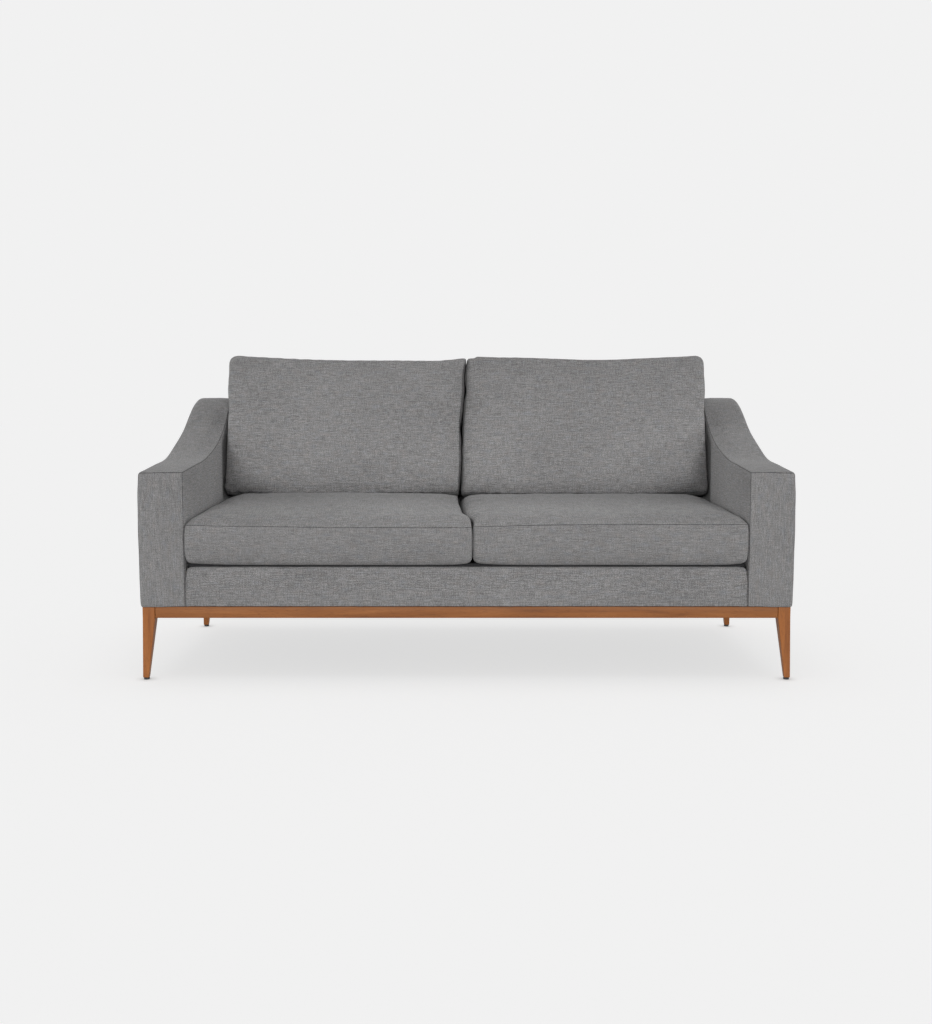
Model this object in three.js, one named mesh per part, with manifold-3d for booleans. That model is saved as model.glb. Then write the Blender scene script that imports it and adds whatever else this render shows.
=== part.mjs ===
// High back settee: loose seat and back cushions on a timber frame, with padded arms that sweep up to the
// back, standing on a wooden base with tapered legs.
// Millimetres, +Z up. The front faces -Y and the origin is on the floor under the middle.
// Left and right are as seen from the front, so left is -X.

import * as THREE from "three";
import { mergeVertices } from "three/addons/utils/BufferGeometryUtils.js";
import Module from "manifold-3d";

const wasm = await Module();
wasm.setup();

// Clearances and cutting
const fit = 0.3;
const besideGap = 3;
const backGap = 0.6;
const overrun = 5;
const weldDistance = 0.001;

// Overall
const overallWidth = 1900;
const overallDepth = 850;
const bodyUnderside = 217.5;
const deckHeight = 341;

// Arms: the top line runs from the front height to the back height through these shares of depth and rise
const armWidth = 132;
const armFrontHeight = 610;
const armBackHeight = 822.5;
const armTopShares = [
  [0, 0],
  [0.2, 0.055],
  [0.38, 0.125],
  [0.54, 0.295],
  [0.68, 0.51],
  [0.79, 0.745],
  [0.86, 0.88],
  [0.93, 0.965],
  [1, 1],
];
const armTopSteps = 30;
const armEdgeRound = 7;
const armEdgeSteps = 2;
const padding = 15;

// Back: its face leans back from the deck up, to this thickness at the top
const backTopThickness = 58.56;
const backLean = THREE.MathUtils.degToRad(9.6);
const backPadding = 20;
const backTopRound = 12;
const liningThickness = 2;

// Base
const baseInset = 12;
const legSideInset = 3.5;
const legTopSize = 36.2;
const legFootSize = 20.5;
const legSplay = 3;
const legFootChamfer = 3.5;
const baseRailHeight = 33.7;
const baseRailThickness = 22;
const tenonLength = 14;
const tenonThickness = 10;
const tenonHeight = 20;
const cornerBlockReach = 70;
const boltRadius = 4;
const boltHeadRadius = 7.5;
const boltHeadHeight = 5;
const boltHeadSides = 6;
const boltReach = 16;
const glideRadius = 8.5;
const glideHeight = 6;
const glideEdge = 1;
const glideStemRadius = 2.5;
const glideStemLength = 14;

// Timber frame inside the upholstery
const frameRailThickness = 25;
const centreRailHeight = 60;
const armBoardThickness = 22;
const armTopRailThickness = 20;
const backPostWidth = 40;
const backTopRailHeight = 60;
const lowerRailHeight = 55;

// Deck, webbing, apron and dust cover
const deckThickness = 18.4;
const webThickness = 2;
const webWidth = 70;
const webCount = 6;
const apronRecess = 5;
const apronThickness = 10;
const apronRound = 14;
const apronLip = 25;
const dustCoverThickness = 2;

// Cushions: where each pair parts, and the form of each kind
const seatSplit = 2;
const backSplit = -5;
const seatForm = {
  border: 115.4,
  frontInset: 1.5,
  armGap: 2.5,
  underRound: 28,
  seamInset: 2,
  sidePull: 3,
  nearPull: 0,
  farPull: 0,
  cornerRound: 6,
  crown: 42,
  coreInset: 36,
  coreWrap: 14,
};
const seatCrownPeakShare = 0.77;
const seatCrownRise = 1.3;
const seatCrownFall = 1.6;
const seatCrownRearShare = 0.2;
const seatCrownSideShare = 0.65;
const seatCrownSidePower = 4;
const backForm = {
  border: 160,
  height: 480,
  armGap: 5,
  underRound: 24,
  seamInset: 7,
  sidePull: 3,
  nearPull: 0,
  farPull: 17,
  cornerRound: 7,
  crown: 30,
  coreInset: 36,
  coreWrap: 16,
};
const backCrownPower = 3;
const cornerRoundPower = 10;
const panelsAcross = 18;
const panelsAlong = 12;
const borderArcSteps = 3;
const zipLengthShare = 0.6;
const zipHeight = 8;
const zipThickness = 4;
const zipRecess = 3;

// Facets of round pieces
const roundSides = 12;
const roundCornerSteps = 4;

// Places that several pieces share
const halfWidth = overallWidth / 2;
const halfDepth = overallDepth / 2;
const armInner = halfWidth - armWidth;
const cavityInner = armInner + padding;
const cavityOuter = halfWidth - padding;
const cavityEnd = halfDepth - padding;
const baseTop = bodyUnderside - fit;
const baseRailUnderside = baseTop - baseRailHeight;
const legOuterX = halfWidth - legSideInset;
const legOuterY = halfDepth - baseInset;
const legInnerX = legOuterX - legTopSize;
const legInnerY = legOuterY - legTopSize;
const railInnerX = legOuterX - baseRailThickness;
const railInnerY = legOuterY - baseRailThickness;
const legFoot = glideHeight + fit;
const frameUnderside = bodyUnderside + dustCoverThickness + fit;
const webUnderside = deckHeight - deckThickness - fit - webThickness;
const seatRailTop = webUnderside - fit;
const seatRailInner = cavityInner - frameRailThickness;
const railFaceY = cavityEnd - fit;
const apronFront = -halfDepth + apronRecess;
const deckFront = apronFront + apronLip;
const backTop = armBackHeight;
const backFoot = halfDepth - backTopThickness - (backTop - deckHeight) * Math.tan(backLean);
const backTopRailTop = backTop - padding - fit;
const backTopRailUnderside = backTopRailTop - backTopRailHeight;
const lowerRailTop = deckHeight + fit + lowerRailHeight;

// Materials
function material(color, roughness, metalness = 0) {
  return new THREE.MeshStandardMaterial({ color, roughness, metalness });
}

const finishes = {
  upholstery: () => material(0x848487, 0.9),
  wood: () => material(0xa0683f, 0.45),
  timber: () => material(0xcdb38a, 0.7),
  foam: () => material(0xe6e0cf, 0.95),
  webbing: () => material(0x3f3a34, 0.9),
  lining: () => material(0x2b2b2d, 0.95),
  zip: () => material(0x55565a, 0.6),
  glide: () => material(0x1b1b1c, 0.5),
  steel: () => material(0xb9bcc0, 0.35, 1),
};

// Solids
function solidOf(geometry) {
  const bare = geometry.index ? geometry.toNonIndexed() : geometry.clone();
  bare.deleteAttribute("normal");
  bare.deleteAttribute("uv");
  const merged = mergeVertices(bare, weldDistance);
  const vertProperties = merged.attributes.position.array;
  const triVerts = new Uint32Array(merged.index.array);
  return new wasm.Manifold(new wasm.Mesh({ numProp: 3, vertProperties, triVerts }));
}

function geometryOf(solid) {
  const mesh = solid.getMesh();
  const geometry = new THREE.BufferGeometry();
  geometry.setAttribute("position", new THREE.BufferAttribute(mesh.vertProperties, mesh.numProp));
  geometry.setIndex(new THREE.BufferAttribute(mesh.triVerts, 1));
  const faceted = geometry.toNonIndexed();
  faceted.computeVertexNormals();
  return faceted;
}

function cut(geometry, ...tools) {
  const left = tools.reduce((body, tool) => body.subtract(solidOf(tool)), solidOf(geometry));
  return geometryOf(left);
}

function join(geometry, ...others) {
  const whole = others.reduce((body, other) => body.add(solidOf(other)), solidOf(geometry));
  return geometryOf(whole);
}

function box([x0, x1], [y0, y1], [z0, z1]) {
  const geometry = new THREE.BoxGeometry(x1 - x0, y1 - y0, z1 - z0);
  return geometry.translate((x0 + x1) / 2, (y0 + y1) / 2, (z0 + z1) / 2);
}

// An outline of [x, y] points pushed up from z0 to z1.
function prismUp(points, [z0, z1]) {
  const shape = new THREE.Shape(points.map(([x, y]) => new THREE.Vector2(x, y)));
  const geometry = new THREE.ExtrudeGeometry(shape, { depth: z1 - z0, bevelEnabled: false });
  return geometry.translate(0, 0, z0);
}

// An outline of [y, z] points pushed across from x0 to x1, with its two ends rounded by round.
function prismAcross(points, [x0, x1], round = 0) {
  const shape = new THREE.Shape(points.map(([y, z]) => new THREE.Vector2(y, z)));
  const geometry = new THREE.ExtrudeGeometry(shape, {
    depth: x1 - x0 - 2 * round,
    bevelEnabled: round > 0,
    bevelThickness: round,
    bevelSize: round,
    bevelOffset: -round,
    bevelSegments: armEdgeSteps,
  });
  const turned = new THREE.Matrix4().makeBasis(
    new THREE.Vector3(0, 1, 0),
    new THREE.Vector3(0, 0, 1),
    new THREE.Vector3(1, 0, 0),
  );
  return geometry.applyMatrix4(turned).translate(x0 + round, 0, 0);
}

// A closed solid through rings of [x, y, z] points, given from the lowest up and anticlockwise from above.
function loft(rings) {
  const count = rings[0].length;
  const index = [];
  for (let ring = 0; ring < rings.length - 1; ring++) {
    for (let i = 0; i < count; i++) {
      const next = (i + 1) % count;
      const low = ring * count;
      const high = low + count;
      index.push(low + i, low + next, high + next, low + i, high + next, high + i);
    }
  }
  const top = (rings.length - 1) * count;
  for (let i = 1; i < count - 1; i++) {
    index.push(0, i + 1, i, top, top + i, top + i + 1);
  }
  const geometry = new THREE.BufferGeometry();
  geometry.setAttribute("position", new THREE.Float32BufferAttribute(rings.flat(2), 3));
  geometry.setIndex(index);
  return geometry;
}

// A round bar along the plan's diagonal, pointing out to the corner.
function diagonalBar(radius, length, sides, [x, y], z) {
  const bar = new THREE.CylinderGeometry(radius, radius, length, sides);
  return bar
    .translate(0, length / 2, 0)
    .rotateZ(-Math.PI / 4)
    .translate(x, y, z);
}

// Points of a quarter circle from one angle to the next, in degrees.
function arc([y, z], radius, fromAngle) {
  return Array.from({ length: roundCornerSteps + 1 }, (_, step) => {
    const angle = THREE.MathUtils.degToRad(fromAngle - (90 * step) / roundCornerSteps);
    return [y + radius * Math.cos(angle), z + radius * Math.sin(angle)];
  });
}

function piece(parent, name, geometry, finish) {
  const mesh = new THREE.Mesh(geometry, finish());
  mesh.name = name;
  parent.add(mesh);
  return mesh;
}

// Arm top line
const armTopLine = new THREE.SplineCurve(
  armTopShares.map(
    ([along, up]) =>
      new THREE.Vector2(
        -halfDepth + along * overallDepth,
        armFrontHeight + up * (armBackHeight - armFrontHeight),
      ),
  ),
).getPoints(armTopSteps * armTopShares.length);

function armTopAt(y) {
  const last = armTopLine.length - 1;
  const found = armTopLine.findIndex((point) => point.x > y);
  const after = found < 1 ? (found < 0 ? last : 1) : found;
  const low = armTopLine[after - 1];
  const high = armTopLine[after];
  return THREE.MathUtils.mapLinear(y, low.x, high.x, low.y, high.y);
}

// The height of a line that lies the given thickness inside the arm's top.
function armTopInside(y, thickness) {
  const reach = overallDepth / armTopSteps;
  const slope = (armTopAt(y + reach) - armTopAt(y - reach)) / (2 * reach);
  return armTopAt(y) - thickness * Math.hypot(1, slope);
}

function armTopPoints(y0, y1, thickness) {
  return Array.from({ length: armTopSteps + 1 }, (_, step) => {
    const y = THREE.MathUtils.lerp(y0, y1, step / armTopSteps);
    return [y, armTopInside(y, thickness)];
  });
}

// The depth of a plane that lies the given distance behind the back's leaning face.
function backPlane(z, behind) {
  return backFoot + (z - deckHeight) * Math.tan(backLean) + behind;
}

const liningFront = backPadding + fit;
const frameFront = liningFront + liningThickness + fit;

// The wooden base
function legSection(z, outerX, size, inset) {
  const [x0, x1] = [outerX - size + inset, outerX - inset];
  const [y0, y1] = [legOuterY - size + inset, legOuterY - inset];
  return [
    [x0, y0, z],
    [x1, y0, z],
    [x1, y1, z],
    [x0, y1, z],
  ];
}

const tenonZ = (baseTop + baseRailUnderside) / 2;
const railMiddleX = legOuterX - baseRailThickness / 2;
const railMiddleY = legOuterY - baseRailThickness / 2;

// The tenon on an end of a rail that runs along X or along Y, or with room round it, its mortise.
function tenonAlongX(room) {
  return box(
    [legInnerX - overrun, legInnerX + tenonLength + room],
    [railMiddleY - tenonThickness / 2 - room, railMiddleY + tenonThickness / 2 + room],
    [tenonZ - tenonHeight / 2 - room, tenonZ + tenonHeight / 2 + room],
  );
}

function tenonAlongY(room) {
  return box(
    [railMiddleX - tenonThickness / 2 - room, railMiddleX + tenonThickness / 2 + room],
    [legInnerY - overrun, legInnerY + tenonLength + room],
    [tenonZ - tenonHeight / 2 - room, tenonZ + tenonHeight / 2 + room],
  );
}

const blockFace = [
  [legInnerX - cornerBlockReach, railInnerY - fit],
  [railInnerX - fit, legInnerY - cornerBlockReach],
];
const boltStart = [(blockFace[0][0] + blockFace[1][0]) / 2, (blockFace[0][1] + blockFace[1][1]) / 2];
const boltInBlock = Math.hypot(legInnerX - boltStart[0], legInnerY - boltStart[1]);

// The bolt's hole, which starts clear of the block's face.
function boltHole() {
  const start = boltStart.map((place) => place - overrun / Math.SQRT2);
  const length = overrun + boltInBlock + boltReach + fit;
  return diagonalBar(boltRadius + fit, length, roundSides, start, tenonZ);
}

function legGeometry() {
  const footX = legOuterX + legSplay;
  const body = loft([
    legSection(legFoot, footX, legFootSize, legFootChamfer),
    legSection(legFoot + legFootChamfer, footX, legFootSize, 0),
    legSection(baseRailUnderside, legOuterX, legTopSize, 0),
    legSection(baseTop, legOuterX, legTopSize, 0),
  ]);
  const stemRoom = glideStemLength + fit + overrun;
  const stemBore = new THREE.CylinderGeometry(
    glideStemRadius + fit,
    glideStemRadius + fit,
    stemRoom,
    roundSides,
  )
    .rotateX(Math.PI / 2)
    .translate(footX - legFootSize / 2, legOuterY - legFootSize / 2, legFoot - overrun + stemRoom / 2);
  return cut(body, stemBore, tenonAlongX(fit), tenonAlongY(fit), boltHole());
}

function glideGeometry() {
  const profile = [
    [0, 0],
    [glideRadius - glideEdge, 0],
    [glideRadius, glideEdge],
    [glideRadius, glideHeight],
    [glideStemRadius, glideHeight],
    [glideStemRadius, glideHeight + glideStemLength],
    [0, glideHeight + glideStemLength],
  ].map(([x, y]) => new THREE.Vector2(x, y));
  return new THREE.LatheGeometry(profile, roundSides).rotateX(Math.PI / 2);
}

function cornerBlockGeometry() {
  const outline = [
    blockFace[0],
    [legInnerX - fit, railInnerY - fit],
    [legInnerX - fit, legInnerY - fit],
    [railInnerX - fit, legInnerY - fit],
    blockFace[1],
  ];
  return cut(prismUp(outline, [baseRailUnderside, baseTop]), boltHole());
}

function boltGeometry() {
  const headStart = boltStart.map((place) => place - (boltHeadHeight + fit) / Math.SQRT2);
  const head = diagonalBar(boltHeadRadius, boltHeadHeight, boltHeadSides, headStart, tenonZ);
  const shank = diagonalBar(
    boltRadius,
    boltInBlock + boltReach + boltHeadHeight / 2 + fit,
    roundSides,
    boltStart.map((place) => place - (boltHeadHeight / 2 + fit) / Math.SQRT2),
    tenonZ,
  );
  return join(head, shank);
}

function makeBase() {
  const base = new THREE.Group();
  for (const [end, endSign] of [
    ["front", -1],
    ["rear", 1],
  ]) {
    const rail = box(
      [fit - legInnerX, legInnerX - fit],
      [railInnerY, legOuterY],
      [baseRailUnderside, baseTop],
    );
    const tenon = tenonAlongX(0);
    const otherTenon = tenonAlongX(0).rotateZ(Math.PI).translate(0, 2 * railMiddleY, 0);
    piece(base, `base_rail_${end}`, join(rail, tenon, otherTenon), finishes.wood).scale.y = endSign;
    for (const [side, sideSign] of [
      ["left", -1],
      ["right", 1],
    ]) {
      const corner = new THREE.Group();
      corner.scale.set(sideSign, endSign, 1);
      piece(corner, `leg_${end}_${side}`, legGeometry(), finishes.wood);
      piece(corner, `corner_block_${end}_${side}`, cornerBlockGeometry(), finishes.timber);
      piece(corner, `leg_bolt_${end}_${side}`, boltGeometry(), finishes.steel);
      const glide = piece(corner, `glide_${end}_${side}`, glideGeometry(), finishes.glide);
      glide.position.set(legOuterX + legSplay - legFootSize / 2, legOuterY - legFootSize / 2, 0);
      base.add(corner);
    }
  }
  for (const [side, sideSign] of [
    ["left", -1],
    ["right", 1],
  ]) {
    const rail = box(
      [railInnerX, legOuterX],
      [fit - legInnerY, legInnerY - fit],
      [baseRailUnderside, baseTop],
    );
    const tenon = tenonAlongY(0);
    const otherTenon = tenonAlongY(0).rotateZ(Math.PI).translate(2 * railMiddleX, 0, 0);
    piece(base, `base_rail_${side}`, join(rail, tenon, otherTenon), finishes.wood).scale.x = sideSign;
  }
  const crossRail = box(
    [-baseRailThickness / 2, baseRailThickness / 2],
    [fit - railInnerY, railInnerY - fit],
    [baseRailUnderside, baseTop],
  );
  piece(base, "base_cross_rail", crossRail, finishes.wood);
  return base;
}

// The timber frame that the upholstery covers
function makeSeatRails(frame) {
  const heights = [frameUnderside, seatRailTop];
  const across = [-cavityInner, cavityInner];
  const railInnerEnd = railFaceY - frameRailThickness;
  piece(frame, "seat_rail_front", box(across, [-railFaceY, -railInnerEnd], heights), finishes.timber);
  piece(frame, "seat_rail_rear", box(across, [railInnerEnd, railFaceY], heights), finishes.timber);
  const between = [fit - railInnerEnd, railInnerEnd - fit];
  piece(frame, "seat_rail_left", box([-cavityInner, -seatRailInner], between, heights), finishes.timber);
  piece(frame, "seat_rail_right", box([seatRailInner, cavityInner], between, heights), finishes.timber);
  const centreHeights = [frameUnderside, frameUnderside + centreRailHeight];
  const centreAcross = [-frameRailThickness / 2, frameRailThickness / 2];
  piece(frame, "seat_rail_centre", box(centreAcross, between, centreHeights), finishes.timber);
}

function makeArmFrame(frame, side, sideSign) {
  const across = [cavityInner + fit, cavityOuter - fit];
  const underRail = padding + armTopRailThickness + 2 * fit;
  const boardRear = armBoardThickness - railFaceY;
  const board = [
    [-railFaceY, frameUnderside],
    [boardRear, frameUnderside],
    [boardRear, armTopInside(-railFaceY, underRail)],
    [-railFaceY, armTopInside(-railFaceY, underRail)],
  ];
  const topRail = [
    ...armTopPoints(-railFaceY, railFaceY, padding + fit),
    ...armTopPoints(railFaceY, -railFaceY, padding + fit + armTopRailThickness),
  ];
  const postTopFront = backPlane(backTopRailUnderside, frameFront);
  const post = [
    [backPlane(seatRailTop, frameFront), frameUnderside],
    [railFaceY, frameUnderside],
    [railFaceY, armTopInside(postTopFront, underRail)],
    [postTopFront, armTopInside(postTopFront, underRail)],
    [backPlane(seatRailTop, frameFront), seatRailTop],
  ];
  const pieces = [
    piece(frame, `arm_board_${side}`, prismAcross(board, across), finishes.timber),
    piece(frame, `arm_top_rail_${side}`, prismAcross(topRail, across), finishes.timber),
    piece(
      frame,
      `back_post_${side}`,
      prismAcross(post, [across[0], across[0] + backPostWidth]),
      finishes.timber,
    ),
  ];
  for (const mesh of pieces) {
    mesh.scale.x = sideSign;
  }
}

function makeBackFrame(frame) {
  const across = [-cavityInner, cavityInner];
  const topRail = [
    [backPlane(backTopRailUnderside, frameFront), backTopRailUnderside],
    [railFaceY, backTopRailUnderside],
    [railFaceY, backTopRailTop],
    [backPlane(backTopRailTop, frameFront), backTopRailTop],
  ];
  piece(frame, "back_top_rail", prismAcross(topRail, across), finishes.timber);
  const lowerRailUnderside = deckHeight + fit;
  const lowerRailRear = backPlane(lowerRailTop, frameFront) + frameRailThickness;
  const lowerRail = [
    [backPlane(lowerRailUnderside, frameFront), lowerRailUnderside],
    [lowerRailRear, lowerRailUnderside],
    [lowerRailRear, lowerRailTop],
    [backPlane(lowerRailTop, frameFront), lowerRailTop],
  ];
  piece(frame, "back_lower_rail", prismAcross(lowerRail, across), finishes.timber);
  const railInnerEnd = railFaceY - frameRailThickness;
  const centrePost = [
    [railInnerEnd, seatRailTop + fit],
    [railFaceY, seatRailTop + fit],
    [railFaceY, backTopRailUnderside - fit],
    [backPlane(backTopRailUnderside - fit, frameFront), backTopRailUnderside - fit],
    [backPlane(lowerRailTop + fit, frameFront), lowerRailTop + fit],
    [lowerRailRear + fit, lowerRailTop + fit],
    [lowerRailRear + fit, lowerRailUnderside],
    [railInnerEnd, lowerRailUnderside],
  ];
  const centreAcross = [-backPostWidth / 2, backPostWidth / 2];
  piece(frame, "back_post_centre", prismAcross(centrePost, centreAcross), finishes.timber);
}

function makeFrame() {
  const frame = new THREE.Group();
  makeSeatRails(frame);
  makeArmFrame(frame, "left", -1);
  makeArmFrame(frame, "right", 1);
  makeBackFrame(frame);
  return frame;
}

// Webbing, deck and lining
function makeSuspension() {
  const suspension = new THREE.Group();
  const pitch = (2 * seatRailInner) / webCount;
  for (let i = 0; i < webCount; i++) {
    const web = box(
      [-webWidth / 2, webWidth / 2],
      [deckFront, railFaceY],
      [webUnderside, webUnderside + webThickness],
    );
    const strap = piece(suspension, `seat_web_${i + 1}`, web, finishes.webbing);
    strap.position.x = (i - (webCount - 1) / 2) * pitch;
  }
  const lining = [
    [backPlane(deckHeight + fit, liningFront), deckHeight + fit],
    [backPlane(deckHeight + fit, liningFront + liningThickness), deckHeight + fit],
    [backPlane(backTopRailTop, liningFront + liningThickness), backTopRailTop],
    [backPlane(backTopRailTop, liningFront), backTopRailTop],
  ];
  piece(suspension, "back_lining", prismAcross(lining, [-cavityInner, cavityInner]), finishes.lining);
  return suspension;
}

// Upholstery
function armCoverGeometry() {
  const roundStart = halfDepth - backTopRound;
  const outline = [
    [-halfDepth, bodyUnderside],
    ...armTopPoints(-halfDepth, roundStart, 0),
    ...arc([roundStart, armTopAt(roundStart) - backTopRound], backTopRound, 90).slice(1),
    [halfDepth, bodyUnderside],
  ];
  const skin = prismAcross(outline, [armInner, halfWidth], armEdgeRound);
  const below = bodyUnderside - overrun;
  const cavity = [
    [-cavityEnd, below],
    ...armTopPoints(-cavityEnd, cavityEnd, padding),
    [cavityEnd, below],
  ];
  const throughPanel = [armInner - overrun, cavityInner + overrun];
  const seatSide = box(throughPanel, [-cavityEnd, cavityEnd], [below, seatRailTop + fit]);
  const backSide = [
    [backPlane(seatRailTop, backPadding), seatRailTop],
    [cavityEnd, seatRailTop],
    [cavityEnd, backTopRailTop + fit],
    [backPlane(backTopRailTop + fit, backPadding), backTopRailTop + fit],
  ];
  return cut(
    skin,
    prismAcross(cavity, [cavityInner, cavityOuter]),
    seatSide,
    prismAcross(backSide, throughPanel),
  );
}

function backCoverGeometry() {
  const lowest = deckHeight + fit;
  const innerTop = backTop - padding;
  const topFront = backPlane(backTop, 0) + backTopRound;
  const outline = [
    [backPlane(lowest, 0), lowest],
    ...arc([topFront, backTop - backTopRound], backTopRound, 180),
    ...arc([halfDepth - backTopRound, backTop - backTopRound], backTopRound, 90),
    [halfDepth, bodyUnderside],
    [cavityEnd, bodyUnderside],
    [cavityEnd, innerTop],
    [backPlane(innerTop, backPadding), innerTop],
    [backPlane(lowest, backPadding), lowest],
  ];
  return prismAcross(outline, [fit - armInner, armInner - fit]);
}

function apronGeometry() {
  const rear = apronFront + apronThickness;
  const outline = [
    [apronFront, bodyUnderside],
    ...arc([apronFront + apronRound, deckHeight - apronRound], apronRound, 180),
    [deckFront - fit, deckHeight],
    [deckFront - fit, seatRailTop + fit],
    [rear, seatRailTop + fit],
    [rear, bodyUnderside],
  ];
  return prismAcross(outline, [fit - armInner, armInner - fit]);
}

function makeUpholstery() {
  const upholstery = new THREE.Group();
  piece(upholstery, "arm_cover_left", armCoverGeometry(), finishes.upholstery).scale.x = -1;
  piece(upholstery, "arm_cover_right", armCoverGeometry(), finishes.upholstery);
  piece(upholstery, "back_cover", backCoverGeometry(), finishes.upholstery);
  piece(upholstery, "front_apron", apronGeometry(), finishes.upholstery);
  const deck = box(
    [fit - armInner, armInner - fit],
    [deckFront, railFaceY - frameRailThickness - fit],
    [deckHeight - deckThickness, deckHeight],
  );
  piece(upholstery, "seat_deck", deck, finishes.lining);
  const dustCover = box(
    [fit - cavityOuter, cavityOuter - fit],
    [-railFaceY, railFaceY],
    [bodyUnderside, bodyUnderside + dustCoverThickness],
  );
  piece(upholstery, "dust_cover", dustCover, finishes.lining);
  return upholstery;
}

// Cushions
// A cushion lies in its own frame: width along x, length along y, its underside at z = 0 and its face up.
function borderLevels(form) {
  const rounded = Array.from({ length: borderArcSteps + 1 }, (_, step) => {
    const angle = (Math.PI / 2) * (step / borderArcSteps);
    return [form.underRound * (1 - Math.sin(angle)), form.underRound * (1 - Math.cos(angle))];
  });
  return [...rounded, [0, form.border - form.seamInset], [form.seamInset, form.border]];
}

function cushionSkin(form, width, length, rise) {
  const levels = borderLevels(form);
  const intervals = levels.length - 1;
  const skin = new THREE.BoxGeometry(2, 2, 2, panelsAcross, panelsAlong, intervals);
  const places = skin.attributes.position;
  for (let i = 0; i < places.count; i++) {
    const [u, v] = [places.getX(i), places.getY(i)];
    const level = Math.round(((places.getZ(i) + 1) / 2) * intervals);
    const [inset, height] = levels[level];
    const endPull = v < 0 ? form.nearPull : form.farPull;
    const corner = form.cornerRound * Math.abs(u * v) ** cornerRoundPower;
    const x = u * (width / 2 - inset - form.sidePull * (1 - v * v)) - Math.sign(u) * corner;
    const y = v * (length / 2 - inset - endPull * (1 - u * u)) - Math.sign(v) * corner;
    places.setXYZ(i, x, y, height + (level === intervals ? rise(u, v) : 0));
  }
  return skin;
}

function seatCrownAlong(share) {
  if (share < seatCrownPeakShare) {
    return seatForm.crown * (1 - (1 - share / seatCrownPeakShare) ** seatCrownRise);
  }
  const fall = ((share - seatCrownPeakShare) / (1 - seatCrownPeakShare)) ** seatCrownFall;
  return seatForm.crown * (1 - (1 - seatCrownRearShare) * fall);
}

function seatRise(u, v) {
  const across = seatCrownSideShare + (1 - seatCrownSideShare) * (1 - Math.abs(u) ** seatCrownSidePower);
  return seatCrownAlong((v + 1) / 2) * across;
}

function backRise(u, v) {
  const [across, along] = [u, v].map((share) => 1 - Math.abs(share) ** backCrownPower);
  return across * along * backForm.crown;
}

// Adds a cover, its core and its zip, which closes the cover's slot at the near end, -1, or the far end, 1.
function addCushion(group, name, form, width, length, rise, zipEnd) {
  const coreHalfWidth = width / 2 - form.coreInset;
  const coreHalfLength = length / 2 - form.coreInset;
  const coreWith = (room) =>
    box(
      [-coreHalfWidth - room, coreHalfWidth + room],
      [-coreHalfLength - room, coreHalfLength + room],
      [form.coreWrap - room, form.border - form.coreWrap + room],
    );
  const zipHalf = (width * zipLengthShare) / 2;
  const zipUnderside = (form.border - zipHeight) / 2;
  const zipOuter = length / 2 - zipRecess;
  const zipBar = (room, inner, outer) =>
    box(
      [-zipHalf - room, zipHalf + room],
      zipEnd > 0 ? [inner, outer] : [-outer, -inner],
      [zipUnderside - room, zipUnderside + zipHeight + room],
    );
  const slot = zipBar(fit, coreHalfLength, length / 2 + overrun);
  const cover = cut(cushionSkin(form, width, length, rise), coreWith(fit), slot);
  piece(group, `${name}_cover`, cover, finishes.upholstery);
  piece(group, `${name}_core`, coreWith(0), finishes.foam);
  piece(group, `${name}_zip`, zipBar(0, zipOuter - zipThickness, zipOuter), finishes.zip);
}

const seatFront = -halfDepth + seatForm.frontInset;
const seatRear = backFoot - backGap;
const seatLength = seatRear - seatFront;
const seatBottom = deckHeight + fit;

function seatTopAt(y) {
  return seatBottom + seatForm.border + seatCrownAlong((y - seatFront) / seatLength);
}

// The back cushions' underside is a plane square to the back's lean that just clears the seat's crown.
function backCushionCorner() {
  const slope = Math.tan(backLean);
  const steps = Array.from({ length: 2 * panelsAlong + 1 }, (_, step) => step / (2 * panelsAlong));
  const lifts = steps.map((share) => {
    const y = THREE.MathUtils.lerp(seatFront, seatRear, share);
    return seatTopAt(y) + y * slope;
  });
  const planeHeight = Math.max(...lifts) + fit;
  const y = (backFoot - backGap + (planeHeight - deckHeight) * slope) / (1 + slope * slope);
  return [y, planeHeight - y * slope];
}

function makeCushions() {
  const cushions = new THREE.Group();
  const seatEdge = armInner - seatForm.armGap;
  const backEdge = armInner - backForm.armGap;
  const [cornerY, cornerZ] = backCushionCorner();
  for (const [side, sideSign] of [
    ["left", -1],
    ["right", 1],
  ]) {
    const seatParting = seatSplit * sideSign + besideGap / 2;
    const seatWidth = seatEdge - seatParting;
    const seat = new THREE.Group();
    seat.position.set(
      (sideSign * (seatEdge + seatParting)) / 2,
      (seatFront + seatRear) / 2,
      seatBottom,
    );
    addCushion(seat, `seat_cushion_${side}`, seatForm, seatWidth, seatLength, seatRise, 1);

    const backParting = backSplit * sideSign + besideGap / 2;
    const backWidth = backEdge - backParting;
    const back = new THREE.Group();
    back.rotation.x = Math.PI / 2 - backLean;
    back.position.set(
      (sideSign * (backEdge + backParting)) / 2,
      cornerY + (Math.sin(backLean) * backForm.height) / 2,
      cornerZ + (Math.cos(backLean) * backForm.height) / 2,
    );
    addCushion(back, `back_cushion_${side}`, backForm, backWidth, backForm.height, backRise, -1);
    cushions.add(seat, back);
  }
  return cushions;
}

const settee = new THREE.Group();
settee.add(makeBase(), makeFrame(), makeSuspension(), makeUpholstery(), makeCushions());

export default settee;
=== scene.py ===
"""Looks of the high back settee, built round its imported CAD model. Metres, +Z up, the front faces -Y."""
import math

import bpy
import numpy as np
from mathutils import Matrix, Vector
from mathutils.kdtree import KDTree


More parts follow.
